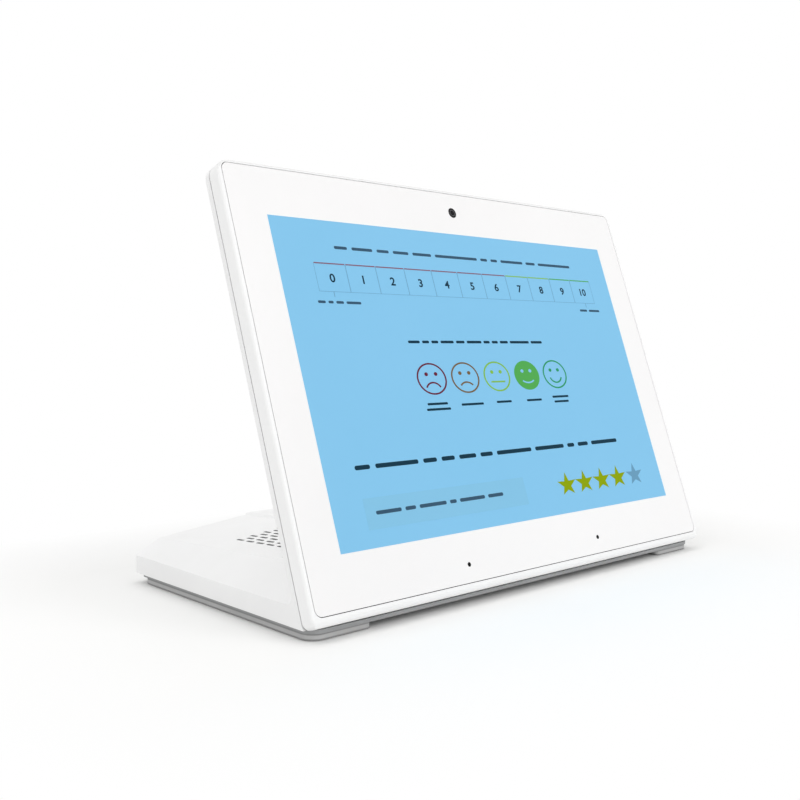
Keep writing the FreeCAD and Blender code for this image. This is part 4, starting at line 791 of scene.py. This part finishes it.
# %% Figures of the scale
FIGURE_UP = 42.1
FIGURE_SIZE = 5.1
FIGURE_BOLDER = 0.1
FIGURE_WIDER = 1.15
figures = []
for number in range(CELL_COUNT):
    fresh_start()
    middle = (CELL_LEFT + (number + 0.5) * cell_width) * MM
    bpy.ops.object.text_add(location=(middle, FIGURE_UP * MM, 0))
    figure = bpy.context.object
    figure.data.body = str(number)
    figure.data.size = FIGURE_SIZE * MM
    figure.data.offset = FIGURE_BOLDER * MM
    figure.scale.x = FIGURE_WIDER
    figure.data.align_x = "CENTER"
    figure.data.align_y = "CENTER"
    bpy.ops.object.convert(target="MESH")
    figures.append(keep_shape())
lay_on_glass(join_all(figures), "scale_figures", LINE_LEVEL, dark_ink)

# %% [markdown]
# Every line of wording on the screen becomes a row of bars. Only the rhythm of long and short words
# is kept, so nothing can be read, and the lines keep their weight and their places. A table gives
# each line's left and right end, its middle, its height, the lengths of its words and its level.

# %% Lines of wording
WORDING = {
    "heading_bars": (-77.8, 79.2, 56.0, 1.3, (3, 5, 3, 4, 5, 12, 2, 2, 7, 3, 11), MARK_LEVEL, word_ink),
    "low_end_bars": (-92.6, -69.9, 31.8, 1.1, (3, 2, 3, 6), MARK_LEVEL, word_ink),
    "high_end_bars": (78.4, 94.8, 32.3, 1.1, (4, 6), MARK_LEVEL, word_ink),
    "thanks_bars": (-48.5, 40.6, 15.0, 1.2, (5, 3, 3, 6, 4, 7, 3, 3, 4, 10, 6), MARK_LEVEL, dark_ink),
    "question_bars": (-92.9, 79.0, -36.4, 1.8, (3, 9, 3, 3, 4, 3, 9, 8, 2, 3, 8), MARK_LEVEL, dark_ink),
    "answer_bars": (-87.2, -13.3, -54.6, 1.5, (7, 3, 8, 2, 8, 5), TOP_LEVEL, word_ink),
}
for name, (left, right, middle, height, lengths, level, ink) in WORDING.items():
    lay_on_glass(word_bars(left, right, middle, height, lengths), name, level, ink)

# %% [markdown]
# A rating face is a ring, two eyes and a mouth. The ring and a bowed mouth are the same kind of
# shape: a short straight piece whose end edge is spun round a centre, all the way for the ring and
# part of the way for the mouth. A curve with a bevel would do it too, but a spun strip is already a
# flat mesh.

# %% Discs, rings and arcs
SEED_LENGTH = 0.02
WELD = 0.03


def face_up(piece):
    """Turn all faces of a flat drawing towards the viewer."""
    pick(piece)
    if piece.data.polygons[0].normal.z < 0:
        edit_all()
        bpy.ops.mesh.flip_normals()
        bpy.ops.object.mode_set(mode="OBJECT")
    return piece


def arc_strip(centre, radius, width, start, sweep, steps):
    """A flat strip that follows a circle from one angle through a sweep, in millimetres and degrees."""
    fresh_start()
    bpy.ops.mesh.primitive_plane_add(size=1, location=(radius * MM, 0, 0))
    strip = bpy.context.object
    strip.scale = (width * MM, SEED_LENGTH * MM, 1)
    keep_shape()
    edit_points(strip, lambda point: point.co.y > 0)
    bpy.ops.mesh.spin(steps=steps, angle=-math.radians(sweep), center=(0, 0, 0), axis=(0, 0, 1))
    bpy.ops.mesh.select_all(action="SELECT")
    bpy.ops.mesh.remove_doubles(threshold=WELD * MM)
    bpy.ops.mesh.normals_make_consistent(inside=False)
    bpy.ops.object.mode_set(mode="OBJECT")
    strip.rotation_euler = (0, 0, math.radians(start))
    keep_shape()
    strip.location = (centre[0] * MM, centre[1] * MM, 0)
    return face_up(keep_shape())


def disc(across, up, radius, corners=24):
    """A flat disc in millimetres."""
    fresh_start()
    bpy.ops.mesh.primitive_circle_add(
        vertices=corners, radius=radius * MM, fill_type="NGON", location=(across * MM, up * MM, 0),
    )
    return keep_shape()


print("ring and disc helpers ready")

# %% [markdown]
# A face is drawn round the origin, where its eyes and mouth are easy to place, and is then moved. It
# is stretched too, because this screen shows the faces wider than tall. The one that is filled is a
# disc, and its eyes and mouth lie on it in the colour of the ground.

# %% The parts of a rating face
FACE_WIDTH = 17.6
FACE_HEIGHT = 14.2
STROKE = 0.7
EYES = ((-2.3, 2.1), (2.3, 2.1))
EYE_RADIUS = 0.85


def stretch_face(pieces, across, up):
    """Join a face drawn round the origin, give it this screen's proportions and move it to its place."""
    face = join_all(pieces)
    face.scale = (FACE_WIDTH / FACE_HEIGHT, 1, 1)
    face.location = (across * MM, up * MM, 0)
    return keep_shape()


def smile(low, radius, sweep):
    """A mouth that bows down to a lowest point, or up to a highest one with a negative radius."""
    turned = 90 if radius < 0 else 270
    return arc_strip((0, low + radius), abs(radius), STROKE, turned - sweep / 2, sweep, 16)


def rating_face(name, across, up, mouth, material, filled=False):
    """Lay a face on the glass from its mouth, two eyes and a ring, or from a disc with light features."""
    outer = FACE_HEIGHT / 2
    eyes = [disc(*eye, EYE_RADIUS) for eye in EYES]
    if filled:
        lay_on_glass(stretch_face([disc(0, 0, outer, 64)], across, up), name, MARK_LEVEL, material)
        features = stretch_face(eyes + [mouth], across, up)
        lay_on_glass(features, name + "_features", TOP_LEVEL, sky_ink)
        return
    ring = arc_strip((0, 0), outer - STROKE / 2, STROKE, 0, 360, 64)
    lay_on_glass(stretch_face([ring, mouth] + eyes, across, up), name, MARK_LEVEL, material)


print("faces, mm", FACE_WIDTH, "x", FACE_HEIGHT)

# %% [markdown]
# The five faces go from very sad to very pleased. Each has a label of one or two short lines under
# it, which are bars as the other wording is.

# %% The five faces and their labels
rating_face("face_very_sad", -39.6, -1.6, smile(-1.7, -3.7, 130), red_ink)
rating_face("face_sad", -18.8, -1.5, smile(-2.1, -4.0, 100), gold_ink)
rating_face("face_neutral", 2.2, -1.4, bar(-3.8, -2.5, 7.6, STROKE, 0), lime_ink)
rating_face("face_pleased", 23.3, -1.3, smile(-3.6, 5.4, 72), leaf_ink, filled=True)
rating_face("face_very_pleased", 44.2, -1.2, smile(-4.1, 3.5, 145), fern_ink)
LABEL_HEIGHT = 1.0
LABEL_STEP = 2.4
LABELS = (
    (-39.7, -12.7, (12.2, 14.4)),
    (-18.2, -13.7, (14.2,)),
    (2.8, -13.4, (10.2,)),
    (24.1, -13.4, (10.8,)),
    (44.0, -12.4, (12.2, 10.8)),
)
labels = []
for across, up, widths in LABELS:
    for line, width in enumerate(widths):
        labels.append(bar(across - width / 2, up - LABEL_STEP * line, width, LABEL_HEIGHT))
lay_on_glass(join_all(labels), "face_label_bars", MARK_LEVEL, dark_ink)

# %% [markdown]
# A star starts as a circle of ten corners. Every second corner is pulled towards the middle, which
# keeps all five points alike. A star drawn in a circle of radius 1 is 1.9 wide and 1.81 tall, so
# its size is divided by these.

# %% Five stars
STAR_WIDTH = 13.4
STAR_HEIGHT = 10.3
UNIT_STAR = (1.9, 1.81)
INNER_CORNERS = 0.4
STARS_UP = -54.6


def star(across):
    """A flat five-pointed star, its centre in millimetres from the screen's centre."""
    fresh_start()
    bpy.ops.mesh.primitive_circle_add(vertices=10, radius=1.0, fill_type="NGON")
    piece = bpy.context.object
    edit_points(piece, lambda point: point.index % 2 == 1)
    bpy.ops.transform.resize(value=(INNER_CORNERS, INNER_CORNERS, 1))
    bpy.ops.object.mode_set(mode="OBJECT")
    piece.scale = (STAR_WIDTH / UNIT_STAR[0] * MM, STAR_HEIGHT / UNIT_STAR[1] * MM, 1)
    piece.location = (across * MM, STARS_UP * MM, 0)
    return keep_shape()


given = [star(across) for across in (31.8, 45.2, 58.7, 72.0)]
lay_on_glass(join_all(given), "stars_given", MARK_LEVEL, olive_ink)
lay_on_glass(star(86.2), "star_left_over", MARK_LEVEL, slate_ink)

# %% [markdown]
# ## The camera window
#
# Above the picture the camera looks out through a black printed disc. A grey ring lies on it, and a
# dark, very shiny pupil in its middle. The ring is spun from a short strip, as those of the rating
# faces are, so its inner edge is as round as its outer one.

# %% Camera window
ring_black = new_finish(
    "ring_black", skin, {"Grain": 1500.0, "Clouds": 300.0}, [(8, 8, 9), (14, 14, 15)],
    (0.4, 0.5), 0.000002, Specular_IOR_Level=0.08,
)
ring_grey = new_finish(
    "ring_grey", rolled, {"Grain": 2500.0, "Clouds": 400.0}, [(70, 70, 72), (84, 84, 86)],
    (0.4, 0.5), 0.000004, Specular_IOR_Level=0.15,
)
pupil_black = new_finish(
    "pupil_black", skin, {"Grain": 2000.0, "Clouds": 500.0}, [(4, 4, 8), (10, 8, 16)],
    (0.05, 0.09), 0.000001, Specular_IOR_Level=0.12,
)
CAMERA_UP = 78.8
SURROUND_RADIUS = 2.45
TRIM_RADIUS = 1.45
TRIM_WIDTH = 0.42
PUPIL_RADIUS = 0.8
surround = disc(0.0, CAMERA_UP, SURROUND_RADIUS, 48)
lay_on_glass(surround, "camera_surround", BORDER_LEVEL, ring_black)
trim = arc_strip((0.0, CAMERA_UP), TRIM_RADIUS, TRIM_WIDTH, 0, 360, 48)
lay_on_glass(trim, "camera_trim", PLATE_LEVEL, ring_grey)
pupil = disc(0.0, CAMERA_UP, PUPIL_RADIUS, 32)
lay_on_glass(pupil, "camera_pupil", MARK_LEVEL, pupil_black)

# %% [markdown]
# ## The microphone holes
#
# Below the picture two small holes lead to the microphones. A disc of black cloth closes each one.

# %% Microphone cloth
MICROPHONE_ACROSS = 43.9
MICROPHONE_UP = -81.1
CLOTH_RADIUS = 0.95
cloth_discs = [disc(side * MICROPHONE_ACROSS, MICROPHONE_UP, CLOTH_RADIUS) for side in (-1, 1)]
lay_on_glass(join_all(cloth_discs), "microphone_cloth", BORDER_LEVEL, ring_black)

# %% [markdown]
# ## Inside the sockets
#
# What fills a socket is small and repeats: sleeves, contacts and springs. Each is modelled once as a
# block with rounded edges, and an Array modifier makes the row. Copies by hand would do as well, but
# a row with one count and one step is easy to change.

# %% Blocks and rows
contact_gilt = new_finish(
    "contact_gilt", rolled, {"Grain": 3000.0, "Clouds": 400.0}, [(196, 152, 74), (222, 184, 104)],
    (0.2, 0.3), 0.000004, Metallic=1.0,
)


def block(centre, size, rounding):
    """A block with rounded edges, in millimetres."""
    fresh_start()
    bpy.ops.mesh.primitive_cube_add(size=1)
    piece = bpy.context.object
    piece.scale = [side * MM for side in size]
    piece.location = [place * MM for place in centre]
    keep_shape()
    edit_all()
    bpy.ops.mesh.bevel(offset=rounding * MM, segments=2)
    bpy.ops.object.mode_set(mode="OBJECT")
    return piece


def row(piece, count, step):
    """Repeat a piece along X; step is in millimetres."""
    repeat = piece.modifiers.new("row", "ARRAY")
    repeat.count = count
    repeat.use_relative_offset = False
    repeat.use_constant_offset = True
    repeat.constant_offset_displace = (step * MM, 0, 0)
    bpy.ops.object.modifier_apply(modifier=repeat.name)
    return piece


print("block helpers ready")

# %% [markdown]
# A host socket's tongue wears a black sleeve with four gilt contacts under it, in two pairs. The
# second socket's sleeve and contacts are the same again, one step to the side.

# %% Tongues of the host sockets
SOCKET_LIP = 61.1
HOST_ACROSS = -5.5
HOST_STEP = 17.5
sleeve = block((HOST_ACROSS, SOCKET_LIP - 5.5, 11.34), (11.2, 11.0, 1.94), 0.2)
fit(row(sleeve, 2, HOST_STEP), "host_sleeves", plug_black)
contact = block((HOST_ACROSS - 3.5, SOCKET_LIP - 5.0, 10.34), (1.0, 8.0, 0.12), 0.04)
row(contact, 2, 2.5)
row(contact, 2, 4.5)
fit(row(contact, 2, HOST_STEP), "host_contacts", contact_gilt)

# %% [markdown]
# The device socket's tongue is thin, with a short sleeve and twelve small contacts on each face.

# %% Tongue of the device socket
DEVICE_ACROSS = 28.0
DEVICE_FACES = (8.34, 9.16)
CONTACT_COUNT = 12
CONTACT_STEP = 0.5
sleeve = block((DEVICE_ACROSS, SOCKET_LIP - 3.0, 8.75), (6.8, 6.0, 0.8), 0.15)
fit(sleeve, "device_sleeve", plug_black)
rows = []
for face_height in DEVICE_FACES:
    first = block((DEVICE_ACROSS - 2.75, SOCKET_LIP - 2.4, face_height), (0.25, 4.4, 0.06), 0.02)
    rows.append(row(first, CONTACT_COUNT, CONTACT_STEP))
fit(join_all(rows), "device_contacts", contact_gilt)

# %% [markdown]
# The network socket is lined with black plastic at its top, sides and back. The liner is a box that
# loses its mouth and its floor, and then gets a wall on the inside.

# %% Liner of the network socket
NETWORK_ACROSS = -27.0
LINER_CENTRE = (NETWORK_ACROSS * MM, 55.04 * MM, 13.6 * MM)
LINER_SIZE = (11.86 * MM, 13.96 * MM, 7.96 * MM)
LINER_WALL = 0.25 * MM
fresh_start()
bpy.ops.mesh.primitive_cube_add(size=1, location=LINER_CENTRE)
liner = bpy.context.object
liner.scale = LINER_SIZE
keep_shape()
bpy.ops.object.mode_set(mode="EDIT")
bpy.ops.mesh.select_mode(type="FACE")
bpy.ops.mesh.select_all(action="DESELECT")
bpy.ops.object.mode_set(mode="OBJECT")
for face in liner.data.polygons:
    face.select = face.normal.y > 0.9 or face.normal.z < -0.9
bpy.ops.object.mode_set(mode="EDIT")
bpy.ops.mesh.delete(type="FACE")
bpy.ops.mesh.select_mode(type="VERT")
bpy.ops.object.mode_set(mode="OBJECT")
wall = liner.modifiers.new("wall", "SOLIDIFY")
wall.thickness = LINER_WALL
wall.offset = -1.0
bpy.ops.object.modifier_apply(modifier=wall.name)
fit(liner, "network_liner", plug_black)

# %% [markdown]
# Eight thin springs run into the network socket from the top of its mouth and slope down. A spring
# is drawn level and turned a little about its middle, because a level block is easy to round.

# %% Springs of the network socket
SPRING_CENTRE = (NETWORK_ACROSS - 3.57, 56.0, 15.7)
SPRING_SIZE = (0.5, 8.6, 0.3)
SPRING_SLOPE = 18
SPRING_COUNT = 8
SPRING_STEP = 1.02
spring = block(SPRING_CENTRE, SPRING_SIZE, 0.1)
edit_all()
bpy.ops.transform.rotate(
    value=-math.radians(SPRING_SLOPE), orient_axis="X",
    center_override=(0, SPRING_CENTRE[1] * MM, SPRING_CENTRE[2] * MM),
)
bpy.ops.object.mode_set(mode="OBJECT")
mouth_end = max(spring.data.vertices, key=lambda point: point.co.y)
print("spring's end at the mouth, height in mm", round(mouth_end.co.z / MM, 2))
fit(row(spring, SPRING_COUNT, SPRING_STEP), "network_springs", contact_gilt)

# %% [markdown]
# The power inlet's pin is plated metal with a rounded end: a cylinder whose edges are bevelled. In
# the headset socket a leaf spring touches the plug.

# %% Power pin and headset leaf
PIN_RADIUS = 1.15
PIN_LENGTH = 9.6
PIN_CENTRE = (-46.5 * MM, 57.3 * MM, 12.5 * MM)
PIN_ROUNDING = 0.5
HEADSET_ACROSS = 40.0
fresh_start()
bpy.ops.mesh.primitive_cylinder_add(
    vertices=32, radius=PIN_RADIUS * MM, depth=PIN_LENGTH * MM, location=PIN_CENTRE,
    rotation=(math.pi / 2, 0, 0),
)
pin = keep_shape()
rounded = pin.modifiers.new("round the end", "BEVEL")
rounded.width = PIN_ROUNDING * MM
rounded.segments = 4
bpy.ops.object.modifier_apply(modifier=rounded.name)
fit(pin, "power_pin", socket_nickel)
leaf = block((HEADSET_ACROSS, 57.0, 8.5), (1.2, 5.0, 0.16), 0.05)
fit(leaf, "headset_leaf", contact_gilt)

# %% [markdown]
# ## The studio
#
# The floor is a pale plane that belongs to the stage and not to the object. It lies a hair below
# the soles, so that the two don't flicker into each other. Its own finish is plain and matt.

# %% Floor
FLOOR_SIZE = 30
FLOOR_DROP = 0.2 * MM
HALF_BASE = (0.127, 0.062)
NEAR_FLOOR = 0.03
FAR_FLOOR = 0.12
fresh_start()
bpy.ops.mesh.primitive_plane_add(size=FLOOR_SIZE, location=(0, 0, -FLOOR_DROP))
floor = bpy.context.object
floor.name = "studio_floor"
floor_paint = new_finish(
    "floor_paint", skin, {"Grain": 300.0, "Clouds": 3.0}, [(244, 244, 243), (247, 247, 246)],
    (0.9, 0.95), 0.00001, Specular_IOR_Level=0.05,
)
floor.data.materials.append(floor_paint)
print("floor", FLOOR_SIZE, "m wide")

# %% [markdown]
# A white background could come from more light, but that would burn out the white housing too. So
# the floor fades to plain white away from the object, for the camera and in reflections only. Near
# the object it keeps the shadow, and the light that bounces off it is that of a pale floor. Light
# Path tells a ray that is seen from one that only carries light. The fade follows the distance from
# the rectangle on which the object stands: across and back are squared, added and rooted.

# %% Fade of the floor
def directly_seen(tree):
    """1 for rays from the camera, in a reflection or through glass, and 0 for bounced light."""
    rays = add_node(tree, "ShaderNodeLightPath")
    seen = work_out(tree, "MAXIMUM", rays.outputs["Is Camera Ray"], rays.outputs["Is Glossy Ray"])
    return work_out(tree, "MAXIMUM", seen, rays.outputs["Is Transmission Ray"])


floor_tree = floor_paint.node_tree
squares = []
for value, half in zip(apart(floor_tree, place_texture(floor_tree)), HALF_BASE):
    outside = work_out(floor_tree, "SUBTRACT", work_out(floor_tree, "ABSOLUTE", value, 0), half)
    squares.append(work_out(floor_tree, "POWER", work_out(floor_tree, "MAXIMUM", outside, 0), 2))
away = work_out(floor_tree, "SQRT", work_out(floor_tree, "ADD", *squares), 0)
far_share = spread(floor_tree, away, NEAR_FLOOR, FAR_FLOOR)
faded = work_out(floor_tree, "MULTIPLY", far_share, directly_seen(floor_tree))
plain_white = add_node(floor_tree, "ShaderNodeEmission")
blend = add_node(floor_tree, "ShaderNodeMixShader")
paint = floor_tree.nodes["Principled BSDF"].outputs["BSDF"]
surface = floor_tree.nodes["Material Output"].inputs["Surface"]
floor_tree.links.new(faded, blend.inputs["Fac"])
floor_tree.links.new(paint, blend.inputs[1])
floor_tree.links.new(plain_white.outputs["Emission"], blend.inputs[2])
floor_tree.links.new(blend.outputs["Shader"], surface)
print("floor fades from", NEAR_FLOOR, "to", FAR_FLOOR, "m")

# %% [markdown]
# The world lights the object softly from all sides and shows plain white to the camera. Three large
# lamps add direction: one over the object, one in front for the screen, and one for the left side.
# Large lamps give the soft shadows of a studio.

# %% World and lamps
WORLD_LIGHT = 0.63
world = bpy.data.worlds.new("studio")
bpy.context.scene.world = world
world.use_nodes = True
world_tree = world.node_tree
background = world_tree.nodes["Background"]
background.inputs["Color"].default_value = (1, 1, 1, 1)
strength = spread(world_tree, directly_seen(world_tree), 0.0, 1.0, WORLD_LIGHT, 1.0)
world_tree.links.new(strength, background.inputs["Strength"])


def soft_lamp(name, place, target, size, power):
    """A square lamp that faces a point; sizes are in metres and power in watts."""
    fresh_start()
    bpy.ops.object.light_add(type="AREA", location=place)
    lamp = bpy.context.object
    lamp.name = name
    lamp.data.shape = "SQUARE"
    lamp.data.size = size
    lamp.data.energy = power
    direction = Vector(target) - Vector(place)
    lamp.rotation_euler = direction.to_track_quat("-Z", "Y").to_euler()


soft_lamp("lamp_above", place=(0.1, 0.2, 1.5), target=(0, 0, 0.05), size=1.4, power=5.6)
soft_lamp("lamp_front", place=(0.4, -1.45, 1.05), target=(0, -0.03, 0.09), size=1.2, power=7.9)
soft_lamp("lamp_left", place=(-1.1, 0.1, 1.4), target=(0, 0, 0.08), size=1.2, power=5.6)
bpy.context.scene.view_settings.view_transform = "Standard"
print("lamps and world set")
